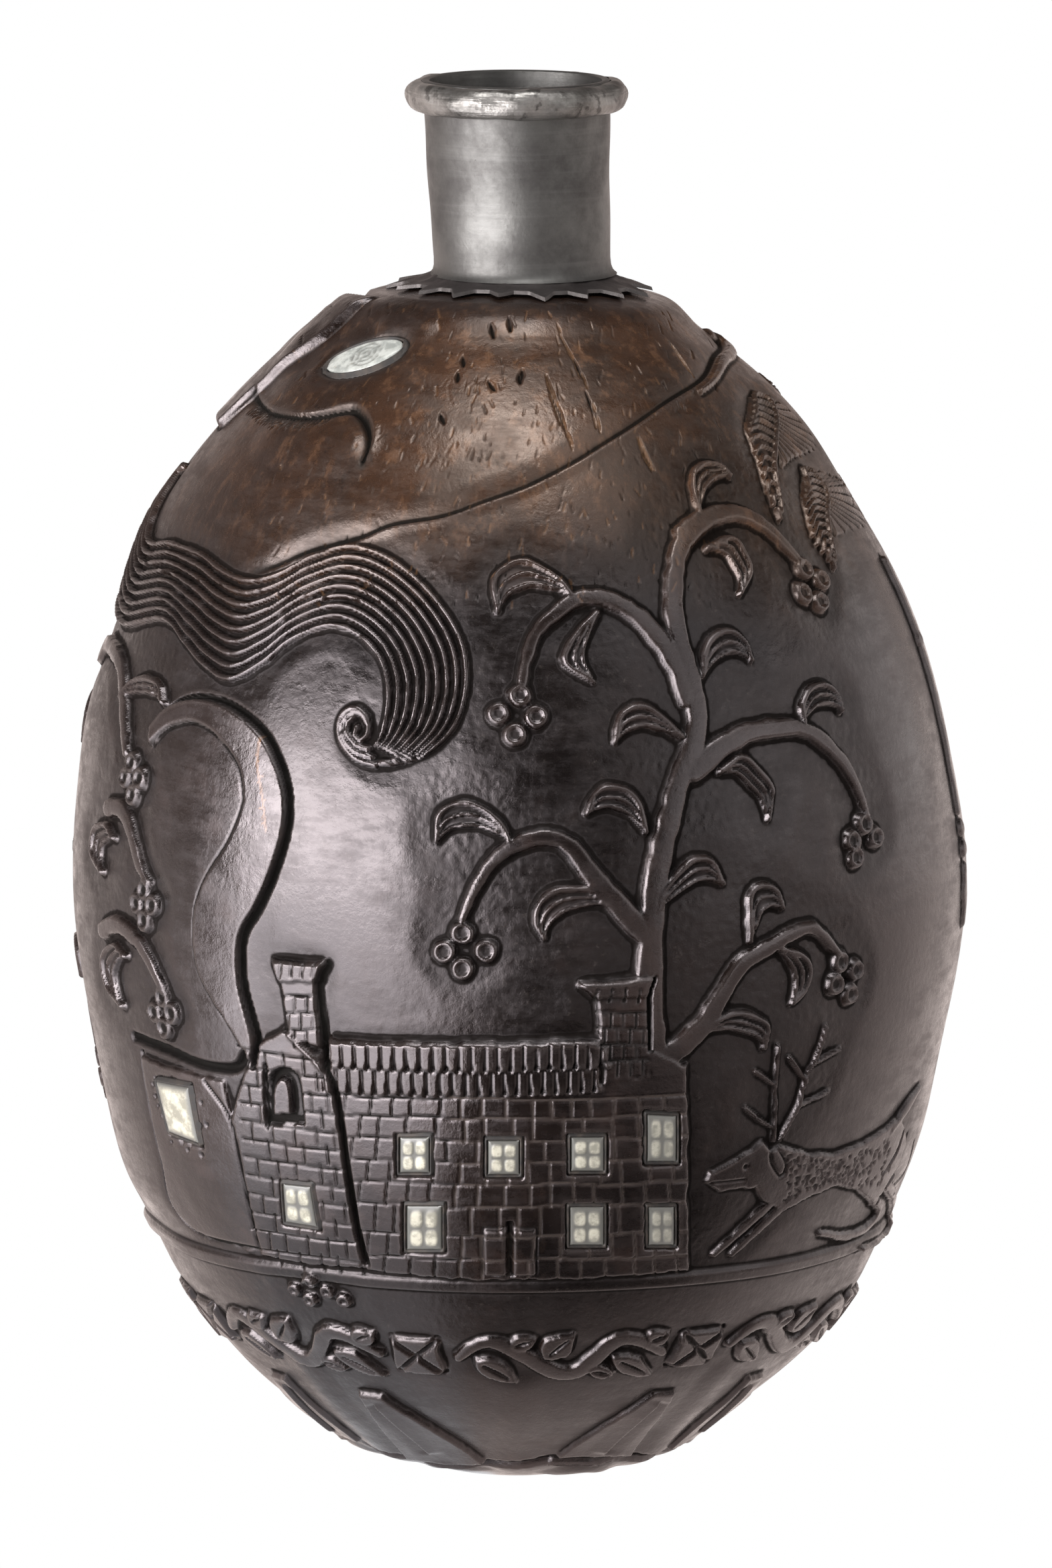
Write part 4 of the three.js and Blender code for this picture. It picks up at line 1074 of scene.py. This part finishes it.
def newGrid(columns, rows):
    bm = bmesh.new()
    bm.loops.layers.uv.new("OFBake")
    bmesh.ops.create_grid(bm, x_segments=columns, y_segments=rows, size=1, calc_uvs=True)
    mesh = bpy.data.meshes.new("grid")
    bm.to_mesh(mesh)
    bm.free()
    at = np.empty(len(mesh.vertices) * 3)
    mesh.vertices.foreach_get("co", at)
    at = at.reshape(-1, 3)
    column = np.rint((at[:, 0] + 1) / 2 * columns).astype(int)
    row = np.rint((at[:, 1] + 1) / 2 * rows).astype(int)
    return mesh, column, row


def setLayer(mesh, name, values):
    mesh.attributes.new(name, "FLOAT", "POINT").data.foreach_set("value", values)


def welded(mesh):
    bm = bmesh.new()
    bm.from_mesh(mesh)
    bmesh.ops.remove_doubles(bm, verts=bm.verts, dist=2e-6)
    bmesh.ops.recalc_face_normals(bm, faces=bm.faces)
    return bm


# Shaders: the graph that is being drawn, and short ways to add to it
graph = {}


def openGraph(owner):
    owner.use_nodes = True
    graph.update(nodes=owner.node_tree.nodes, links=owner.node_tree.links)
    return graph["nodes"]


def newMaterial(name):
    material = bpy.data.materials.new(name)
    return material, openGraph(material)["Principled BSDF"].inputs


def node(kind):
    return graph["nodes"].new("ShaderNode" + kind)


def put(socket, value):
    if isinstance(value, bpy.types.NodeSocket):
        graph["links"].new(value, socket)
    elif socket.type == "RGBA":
        socket.default_value = (*value, 1)
    else:
        socket.default_value = value


def fill(made, *values):
    for socket, value in zip(made.inputs, values):
        put(socket, value)
    return made.outputs[0]


def attribute(name):
    made = node("Attribute")
    made.attribute_name = name
    return made.outputs["Fac"]


def noise(scale, detail=4, rough=0.6, stretch=None):
    where = node("TexCoord").outputs["Object"]
    if stretch:
        mapping = node("Mapping")
        put(mapping.inputs["Vector"], where)
        put(mapping.inputs["Scale"], stretch)
        where = mapping.outputs["Vector"]
    made = node("TexNoise")
    for name, value in dict(Vector=where, Scale=scale, Detail=detail, Roughness=rough).items():
        put(made.inputs[name], value)
    return made.outputs["Fac"]


def ramp(value, low, high, first=0.0, last=1.0):
    made = node("MapRange")
    made.interpolation_type = "SMOOTHSTEP"
    return fill(made, value, low, high, first, last)


def mathOf(kind, a, b):
    made = node("Math")
    made.operation = kind
    return fill(made, a, b)


def times(a, b):
    return mathOf("MULTIPLY", a, b)


def plus(a, *others):
    for other in others:
        a = mathOf("ADD", a, other)
    return a


def minus(a, b):
    return mathOf("SUBTRACT", a, b)


def largest(a, *others):
    for other in others:
        a = mathOf("MAXIMUM", a, other)
    return a


def blend(share, a, b):
    made = node("Mix")
    made.data_type = "RGBA"
    colours = [socket for socket in made.inputs if socket.type == "RGBA"]
    for socket, value in zip([made.inputs[0]] + colours, (share, a, b)):
        put(socket, value)
    return [socket for socket in made.outputs if socket.type == "RGBA"][0]


def bumped(height, strength, distance):
    made = node("Bump")
    for name, value in dict(Strength=strength, Distance=distance, Height=height).items():
        put(made.inputs[name], value)
    return made.outputs["Normal"]


# Tones of the coconut: those for raised parts and edges are painted highlight over rubbed wear; those for the
# sunk ground, lowered parts and crevices are painted shade; the dark of the dirt layer is dirt and painted
# shade
coconutTones = dict(
    black=(0.0070, 0.0045, 0.0038), blackest=(0.0030, 0.0020, 0.0018), blackPatch=(0.0150, 0.0078, 0.0056),
    brown=(0.039, 0.019, 0.0108), deepBrown=(0.0185, 0.0098, 0.0063), brightFibre=(0.098, 0.049, 0.026),
    darkFibre=(0.0075, 0.0045, 0.0035), fibreTrace=(0.022, 0.014, 0.0105), ground=(0.0035, 0.0028, 0.0026),
    stipple=(0.050, 0.042, 0.037), raised=(0.0135, 0.0098, 0.0090), lowered=(0.0035, 0.0028, 0.0025),
    edge=(0.070, 0.056, 0.052), crevice=(0.004, 0.003, 0.0025), chalk=(0.13, 0.10, 0.085),
    bareFibre=(0.22, 0.115, 0.055), grimeAndShade=(0.0055, 0.0055, 0.0048),
    blackGlint=(1.0, 0.90, 0.92), brownGlint=(1.0, 0.80, 0.68),
)


def coconutMaterial():
    material, shader = newMaterial("coconut")
    tones = coconutTones
    hollow, sunk, standing, warm = [attribute(name) for name in ("cavity", "sunk", "wide", "warm")]
    cloud = noise(55, 5)
    patches = noise(160, 6, 0.65)
    fine = noise(1300, 4, 0.7)
    fibres = noise(520, 4, 0.7, (1, 1, 0.14))
    rubbed = noise(420, 6, 0.75, (0.5, 0.5, 1.6))
    dark = blend(ramp(cloud, 0.4, 0.6), tones["black"], tones["blackest"])
    dark = blend(ramp(patches, 0.5, 0.72, 0, 0.7), dark, tones["blackPatch"])
    brown = blend(ramp(patches, 0.35, 0.65), tones["brown"], tones["deepBrown"])
    brown = blend(ramp(fibres, 0.5, 0.72, 0, 0.8), brown, tones["brightFibre"])
    brown = blend(ramp(fibres, 0.42, 0.3, 0, 0.7), brown, tones["darkFibre"])
    colour = blend(warm, dark, brown)
    # Dirt and painted shade from the dirt layer, broken by fine noise; it also dulls the gloss
    grimeAndShade = times(attribute("dirtAndShade"), ramp(fine, 0.3, 0.6, 0.95, 0.6))
    over = dict(
        fibreTrace=ramp(fibres, 0.6, 0.75, 0, 0.3),
        # Painted shade on the cut-down ground round the figures
        ground=times(sunk, 0.7),
        stipple=times(sunk, ramp(fine, 0.58, 0.75, 0, 0.35)),
        # Painted highlight on parts that stand above their surroundings, over rubbed wear
        raised=ramp(standing, 0.2, 0.9, 0, 0.3),
        # Painted shade in parts lower than their surroundings
        lowered=ramp(standing, -0.2, -0.8, 0, 0.45),
        # Painted highlight along convex edges, over rubbed wear
        edge=ramp(hollow, 0.2, 0.9, 0, 0.16),
        # Painted shade in the crevices, along with the dirt in them
        crevice=ramp(hollow, -0.15, -0.8, 0, 0.8),
        chalk=times(attribute("pale"), 0.4),
        bareFibre=times(attribute("fibre"), 0.6),
        grimeAndShade=grimeAndShade,
    )
    for tone, share in over.items():
        colour = blend(share, colour, tones[tone])
    put(shader["Base Color"], colour)
    put(shader["IOR"], 1.6)
    put(shader["Specular Tint"], blend(warm, tones["blackGlint"], tones["brownGlint"]))
    mirror = ramp(hollow, -0.2, -0.8, 0.5, 0.12)
    mirror = minus(minus(mirror, times(grimeAndShade, 0.35)), times(sunk, 0.18))
    put(shader["Specular IOR Level"], largest(mirror, 0.06))
    glossy = plus(ramp(patches, 0.35, 0.65, 0.16, 0.30), ramp(rubbed, 0.35, 0.65, -0.05, 0.12))
    crevice = ramp(hollow, -0.1, -0.6, 0, 0.3)
    put(shader["Roughness"], plus(glossy, times(sunk, 0.1), crevice, times(grimeAndShade, 0.3), times(warm, 0.06)))
    put(shader["Normal"], bumped(plus(fine, times(fibres, 0.4), times(patches, 0.9)), 0.4, 0.00012))
    return material


def pewterMaterial(name, light, dark, glint, shine, pitting=0.00015, pits=(1700, 0.66)):
    material, shader = newMaterial(name)
    stains = noise(110, 7, 0.7)
    lines = noise(900, 3, 0.6, (0.05, 0.05, 1.6))
    specks = noise(pits[0], 3, 0.6)
    colour = blend(ramp(stains, 0.35, 0.7), light, dark)
    colour = blend(ramp(lines, 0.5, 0.75, 0, 0.3), colour, glint)
    colour = blend(ramp(specks, pits[1], pits[1] + 0.12, 0, 0.75), colour, (0.04, 0.037, 0.034))
    put(shader["Base Color"], blend(attribute("wear"), colour, (0.36, 0.35, 0.335)))
    put(shader["Metallic"], 0.8)
    put(shader["Roughness"], ramp(stains, 0.3, 0.7, shine, shine + 0.16))
    put(shader["Normal"], bumped(plus(lines, specks), 0.3, pitting))
    return material


def shellMaterial(name, light, shade):
    material, shader = newMaterial(name)
    colour = blend(ramp(noise(750, 5, 0.65), 0.4, 0.62), light, shade)
    colour = blend(ramp(noise(2200, 4, 0.7), 0.55, 0.72, 0, 0.6), colour, (0.22, 0.20, 0.16))
    put(shader["Base Color"], blend(attribute("engraved"), colour, (0.105, 0.103, 0.094)))
    put(shader["Roughness"], 0.28)
    return material


def masticMaterial():
    material, shader = newMaterial("mastic")
    put(shader["Base Color"], blend(ramp(noise(700), 0.4, 0.7), (0.010, 0.008, 0.007), (0.035, 0.026, 0.02)))
    put(shader["Roughness"], 0.65)
    return material


coconut = coconutMaterial()
pewter = pewterMaterial("pewter", (0.100, 0.098, 0.093), (0.052, 0.049, 0.047), (0.125, 0.123, 0.118), 0.42,
                        0.00008)
rimPewter = pewterMaterial("rim_pewter", (0.26, 0.250, 0.236), (0.060, 0.055, 0.050), (0.31, 0.30, 0.285),
                           0.34, 0.0005, (620, 0.54))
tarnish = pewterMaterial("tarnished_pewter", (0.062, 0.054, 0.053), (0.032, 0.027, 0.026),
                         (0.09, 0.083, 0.08), 0.48)
shell = shellMaterial("shell_inlay", (0.51, 0.485, 0.395), (0.25, 0.24, 0.195))
eyeShell = shellMaterial("eye_shell", (0.37, 0.38, 0.355), (0.21, 0.22, 0.205))
mastic = masticMaterial()


# Rings of the nut, each closed, one on the other
def nutRing(name, first, last):
    outer = np.arange(first, last + 1)
    inner = np.linspace(last, first, 4).round().astype(int)
    rows = np.concatenate([outer, inner, [first] if first > 0 else []]).astype(int)
    columns = len(colDeg)
    mesh, column, row = newGrid(columns, len(rows) - 1)
    column = column % columns
    source = rows[row]
    isInner = (row >= len(outer)) & (row < len(outer) + len(inner))
    at = nutPoint(colDeg[column], rowT[source], np.where(isInner, -nut["wall"], height[source, column]))
    at[:, 2] = np.where(isInner & (rowZ[source] < nut["wall"]), nut["wall"] * mm, at[:, 2])
    mesh.vertices.foreach_set("co", at.ravel())
    for layer, values in layers.items():
        setLayer(mesh, layer, np.where(isInner, 0, values[source, column]))
    setLayer(mesh, "rim", (~isInner & ((source == first) | (source == last))).astype(float))
    bm = welded(mesh)
    onRim = bm.verts.layers.float["rim"]
    for edge in bm.edges:
        if edge.verts[0][onRim] and edge.verts[1][onRim]:
            edge.smooth = False
    return newObject(name, bm, coconut, ["coconut_shell"], "coconut")


ringNames = ["foot_star", "star_tips", "carved_band", "house_walls", "house_upper", "house_roof",
             "grove_lower", "grove_middle", "grove_upper", "mane_curls", "mask_jaw", "mask_face"]
marks = np.linspace(0, len(rowT) - 1, len(ringNames) + 1).round().astype(int)
for name, first, last in zip(ringNames, marks[:-1], marks[1:]):
    piece = nutRing(name, first, last)
    print("ring", name, len(piece.data.polygons))


# Inlays and their beds
def plate(name, at, faceOf, thickness, material, nodes, slot, gleam=1.0):
    mesh, column, row = newGrid(inlay["steps"], inlay["steps"])
    u = column / inlay["steps"]
    v = row / inlay["steps"]
    spots = np.array([at(x, y) for x, y in zip(u, v)])
    lift, engraved = faceOf(u, v)
    mesh.vertices.foreach_set("co", nutPoint(spots[:, 0], spots[:, 1], lift + nut["proud"]).ravel())
    setLayer(mesh, "engraved", 1 - gleam * (1 - engraved))
    bm = welded(mesh)
    centre = sum((vert.co for vert in bm.verts), Vector()) / len(bm.verts)
    if sum((face.normal for face in bm.faces), Vector()).dot(Vector((centre.x, centre.y, 0))) < 0:
        bmesh.ops.reverse_faces(bm, faces=bm.faces)
    bmesh.ops.solidify(bm, geom=bm.faces, thickness=thickness * mm)
    bmesh.ops.recalc_face_normals(bm, faces=bm.faces)
    return newObject(name, bm, material, nodes, slot)


def fromRim(u, v):
    return np.minimum(np.minimum(u, 1 - u), np.minimum(v, 1 - v))


def domed(u, v, rim):
    return inlay["face"] + inlay["dome"] * (np.sqrt(unit(fromRim(u, v) / rim)) - 1)


def paneFace(u, v):
    across = (np.abs(u - 0.5) - 0.21) / 0.165
    upward = (np.abs(v - 0.5) - 0.21) / 0.175
    reach = (np.abs(across) ** 3 + np.abs(upward) ** 3) ** (1 / 3)
    lit = unit((1.15 - reach) / 0.35)
    return domed(u, v, 0.12) - 0.1 * (1 - lit), 1 - lit


def plainFace(u, v):
    return domed(u, v, 0.15), 1 - unit((fromRim(u, v) - 0.05) / 0.1)


def eyeFace(u, v):
    x = (u - 0.5) * 2
    reach = np.hypot((x - 0.06) * 1.75, (v - 0.5) * 2 * (1 - x * x) * 0.85)
    rings = sum(unit(1 - np.abs(reach - at) / 0.07) for at in (0.6, 0.38, 0.16))
    return -0.3 + 0.35 * np.sqrt(unit(fromRim(u, v) / 0.12)) - 0.18 * rings, rings * 0.9


def bedFace(u, v):
    lip = unit((0.055 - fromRim(u, v)) / 0.02)
    return inlay["face"] - 0.1 - inlay["floor"] * (1 - lip), 0 * u


for name, (maker, ends) in settings.items():
    spread = spreadOf(maker)
    face, stuff = (eyeFace, eyeShell) if maker is almondAt else (paneFace, shell)
    if name == "window_barn":
        face = plainFace
    bed = maker(*ends, margin=inlay["lip"] + spread)
    plate(name + "_bed_piece", bed, bedFace, inlay["bed"], mastic, [name + "_bed"], "mastic")
    plate(name + "_shell", maker(*ends, margin=spread - 0.03), face, inlay["thickness"], stuff,
          [name + "_inlay"], "shell_inlay", inlay["gleam"].get(name, 1.0))
print("inlays set")

# Neck: tube, rolled rim and the toothed flange on the crown
neck = dict(tubeFoot=9.25, tubeTop=9.9, wall=0.8, rise=20.4, reach=6.5, flange=14.1, thickness=0.8, teeth=18,
            notch=2.0, bead=11.65, beadHeight=3.2, seal=1.0, gap=0.3, fit=0.05, sides=168, sealSides=84,
            toothSteps=16, sharp=50.0, fillet=((0.65, -0.02), (0.45, 0.15), (0.25, 0.4), (0.1, 0.9)))
flangeTop = crownHeight(neck["tubeFoot"] + neck["gap"]) + neck["gap"] + neck["thickness"]
rimTop = flangeTop + neck["rise"]


def turned(name, section, material, nodes, slot, sides, shapeOf=None, wear=()):
    bm = bmesh.new()
    worn = bm.verts.layers.float.new("wear")
    verts = [bm.verts.new((r * mm, 0, z * mm)) for r, z in section]
    for i, vert in enumerate(verts):
        vert[worn] = 0.08 if i in wear else 0.0
    edges = [bm.edges.new((a, b)) for a, b in zip(verts, verts[1:] + verts[:1])]
    bmesh.ops.spin(bm, geom=verts + edges, cent=(0, 0, 0), axis=(0, 0, 1), angle=2 * math.pi, steps=sides,
                   use_merge=True)
    if shapeOf:
        for vert in bm.verts:
            vert.co = shapeOf(vert.co)
    bmesh.ops.recalc_face_normals(bm, faces=bm.faces)
    for edge in bm.edges:
        edge.smooth = edge.calc_face_angle(0) < math.radians(neck["sharp"])
    return newObject(name, bm, material, nodes, slot)


def dented(co):
    turn = math.atan2(co.y, co.x)
    z = co.z / mm
    dent = 0.05 * math.sin(3 * turn + z * 0.31) + 0.04 * math.sin(5 * turn - z * 0.7 + 1.2)
    lean = 0.75 * (1 - (z - flangeTop) / neck["rise"])
    return co + Vector((math.cos(turn) * dent + lean, math.sin(turn) * dent, 0)) * mm


def lumpy(co):
    turn = math.atan2(co.y, co.x)
    z = co.z / mm
    waves = ((0.11, 5, 0.4, 0.9), (0.09, 11, 1.7, -1.3), (0.05, 19, 0.2, 2.1))
    bump = sum(size * math.sin(count * turn + first + lean * z) for size, count, first, lean in waves)
    return dented(co) + Vector((math.cos(turn) * bump, math.sin(turn) * bump, 0.5 * bump)) * mm


def tubeSection():
    foot, top, wall = neck["tubeFoot"], neck["tubeTop"], neck["wall"]
    bottom = flangeTop - neck["reach"]
    outside = [(foot, bottom), (foot, flangeTop - 0.05)]
    outside += [(foot + out, flangeTop + up) for out, up in neck["fillet"]]
    shares = [i / 24 for i in range(2, 25)]
    outside += [(foot + (top - foot) * share, flangeTop + neck["rise"] * share) for share in shares]
    lip = [(top - 0.2, rimTop + 0.12), (top - wall + 0.2, rimTop + 0.12)]
    inside = [(r - wall, z) for r, z in outside[::-1] if z > flangeTop + 1.5]
    return outside + lip + inside + [(foot - wall, flangeTop), (foot - wall, bottom)]


turned("neck_pewter", tubeSection(), pewter, ["neck_tube"], "pewter", neck["sides"], dented)


def beadSection():
    inner = neck["tubeTop"] + neck["fit"]
    half = neck["beadHeight"] / 2
    middle = rimTop - half
    angles = np.linspace(-math.pi / 2, math.pi / 2, 15)[1:-1]
    out = neck["bead"] - inner
    roll = [(inner + out * math.cos(a) ** 0.7, middle + half * math.sin(a)) for a in angles]
    return [(inner, middle - half)] + roll + [(inner, rimTop)]


turned("rolled_rim", beadSection(), rimPewter, ["rim_bead"], "pewter", neck["sides"], lumpy)


def toothed(co):
    turn = math.atan2(co.x, -co.y)
    r = math.hypot(co.x, co.y) / mm
    hole = neck["tubeFoot"] + neck["fit"]
    phase = (turn * neck["teeth"] / (2 * math.pi)) % 1.0
    tooth = max(0.0, 1 - abs(2 * phase - 1) / 0.6)
    reach = neck["flange"] - neck["notch"] * (1 - tooth) + 0.25 * math.sin(7.3 * turn)
    share = (r - hole) / (neck["flange"] - hole)
    radius = hole + (reach - hole) * share
    droop = share * tooth * (0.2 + 0.15 * math.sin(7.1 * turn))
    z = co.z / mm - float(seatHeight(r)) + float(seatHeight(radius)) - droop
    z += float(seatTilt(turn)) * min(max((radius - seat["hole"]) / 4.7, 0), 1)
    return Vector((radius * math.sin(turn) + 0.6, -radius * math.cos(turn), z)) * mm


def flangeSection():
    radii = np.linspace(neck["tubeFoot"] + neck["fit"], neck["flange"], 10)
    under = [(r, float(seatHeight(r)) + neck["gap"]) for r in radii]
    over = [(r, z + 0.4 + 0.7 * (i / 9) ** 4) for i, (r, z) in enumerate(under[::-1])]
    over[0] = (over[0][0] - 0.15, over[0][1])
    return under + over


flangeSides = neck["teeth"] * neck["toothSteps"]
turned("toothed_flange", flangeSection(), tarnish, ["collar_flange"], "pewter", flangeSides, toothed,
       wear=(9, 10))


def sealSection():
    inner = neck["tubeFoot"] + neck["gap"]
    outer = inner + neck["seal"]
    low, high = [float(crownHeight(radius)) for radius in (outer, inner)]
    return [(inner, low - nut["wall"]), (outer, low - nut["wall"]), (outer, low), (inner, high)]


turned("pitch_ring", sealSection(), mastic, ["pitch_seal"], "mastic", neck["sealSides"])
print("neck made")

# Stage: pale floor, white behind, soft boxes to the left and above, and the dark of the studio in front
studio = dict(key=24.0, keyTurn=-46.0, keyAway=1.02, fill=1.5, side=2.4, over=2.4, top=6.3, back=0.60,
              front=0.03, near=1.2, far=8.0, floor=3.0)


def areaLight(name, at, toward, size, power, colour=(1, 1, 1)):
    data = bpy.data.lights.new(name, "AREA")
    data.shape = "RECTANGLE"
    data.size, data.size_y = size
    data.energy = power
    data.color = colour
    lamp = bpy.data.objects.new(name, data)
    lamp.location = at
    lamp.rotation_euler = (Vector(toward) - Vector(at)).to_track_quat("-Z", "Y").to_euler()
    bpy.context.collection.objects.link(lamp)


keyTurn = math.radians(studio["keyTurn"])
keyWay = (math.sin(keyTurn), -math.cos(keyTurn), 0)
keyAt = (keyWay[0] * studio["keyAway"], keyWay[1] * studio["keyAway"], 0.24)
areaLight("key", keyAt, (0, 0, 0.07), (1.06, 0.42), studio["key"], (1.0, 0.98, 0.99))
areaLight("fill", (0.95, 0.42, 0.30), (0, 0, 0.07), (0.8, 0.7), studio["fill"])
areaLight("side", (0.88, -0.47, 0.25), (0, 0, 0.07), (0.9, 0.6), studio["side"])
areaLight("over", (0.50, -0.45, 0.85), (0, 0, 0.1), (0.7, 0.7), studio["over"])
areaLight("top", (-0.04, -0.30, 1.02), (0, 0, 0.1), (0.46, 0.46), studio["top"])

bm = bmesh.new()
bmesh.ops.create_grid(bm, x_segments=1, y_segments=1, size=studio["floor"])
mesh = bpy.data.meshes.new("floor")
bm.to_mesh(mesh)
bm.free()
floor = bpy.data.objects.new("floor", mesh)
bpy.context.collection.objects.link(floor)


def axesOf(place):
    made = node("SeparateXYZ")
    put(made.inputs[0], place)
    return made.outputs


def vectorMath(kind, *values):
    made = node("VectorMath")
    made.operation = kind
    fill(made, *values)
    return made.outputs["Value"]


# The polished nut mirrors the floor as light at the left and dark in front; the camera sees it plain
def floorMaterial():
    material, shader = newMaterial("floor")
    put(shader["Base Color"], (0.75, 0.75, 0.75))
    put(shader["Roughness"], 0.8)
    place = node("TexCoord").outputs["Object"]
    axes = axesOf(place)
    fromLeft = ramp(axes["X"], -0.02, -0.22, 0.06, 1.0)
    fromRight = ramp(axes["X"], 0.03, 0.12, 0.06, 0.6)
    fromBack = ramp(axes["Y"], -0.06, -0.015, 0.0, 1.2)
    away = vectorMath("LENGTH", place)
    sector = ramp(mathOf("DIVIDE", vectorMath("DOT_PRODUCT", place, keyWay), away), 0.81, 0.93)
    glow = times(sector, ramp(away, 0.06, 0.17, studio["near"], studio["far"]))
    tint = blend(sector, (1.0, 0.86, 0.81), (0.98, 0.97, 1.0))
    gloss = fill(node("Emission"), tint, largest(fromLeft, fromRight, fromBack, glow))
    bright = node("Emission").outputs[0]
    rays = node("LightPath").outputs
    plain = graph["nodes"]["Principled BSDF"].outputs[0]
    mirrored = fill(node("MixShader"), rays["Is Glossy Ray"], plain, gloss)
    seen = fill(node("MixShader"), rays["Is Camera Ray"], mirrored, bright)
    put(graph["nodes"]["Material Output"].inputs["Surface"], seen)
    return material


mesh.materials.append(floorMaterial())

scene = bpy.context.scene
scene.world = bpy.data.worlds.new("studio")
dim = openGraph(scene.world)["Background"]
axes = axesOf(node("TexCoord").outputs["Generated"])
behind = ramp(axes["Y"], -0.75, 0.15, studio["front"], studio["back"])
overhead = ramp(axes["Z"], 0.2, 0.65, 1.0, 0.15)
fill(dim, (1.0, 0.83, 0.77), times(behind, overhead))
clear = fill(node("Background"), (1, 1, 1))
seen = fill(node("MixShader"), node("LightPath").outputs["Is Camera Ray"], dim.outputs[0], clear)
put(graph["nodes"]["World Output"].inputs["Surface"], seen)

tilt = math.radians(photo["tilt"])
aim = Vector((photo["aimRight"] * mm, 0, (girthHeight + photo["aimAbove"]) * mm))
camera = bpy.data.objects.new("camera", bpy.data.cameras.new("camera"))
camera.data.sensor_width = 36
camera.data.lens = photo["focal"] / photo["height"] * 36
camera.location = aim + Vector((0, -math.cos(tilt), math.sin(tilt))) * photo["away"] * mm
camera.rotation_euler = (aim - camera.location).to_track_quat("-Z", "Y").to_euler()
camera.data.clip_start = 0.05
camera.data.clip_end = 20
bpy.context.collection.objects.link(camera)
scene.camera = camera
scene.view_settings.view_transform = "Standard"
print("stage set")
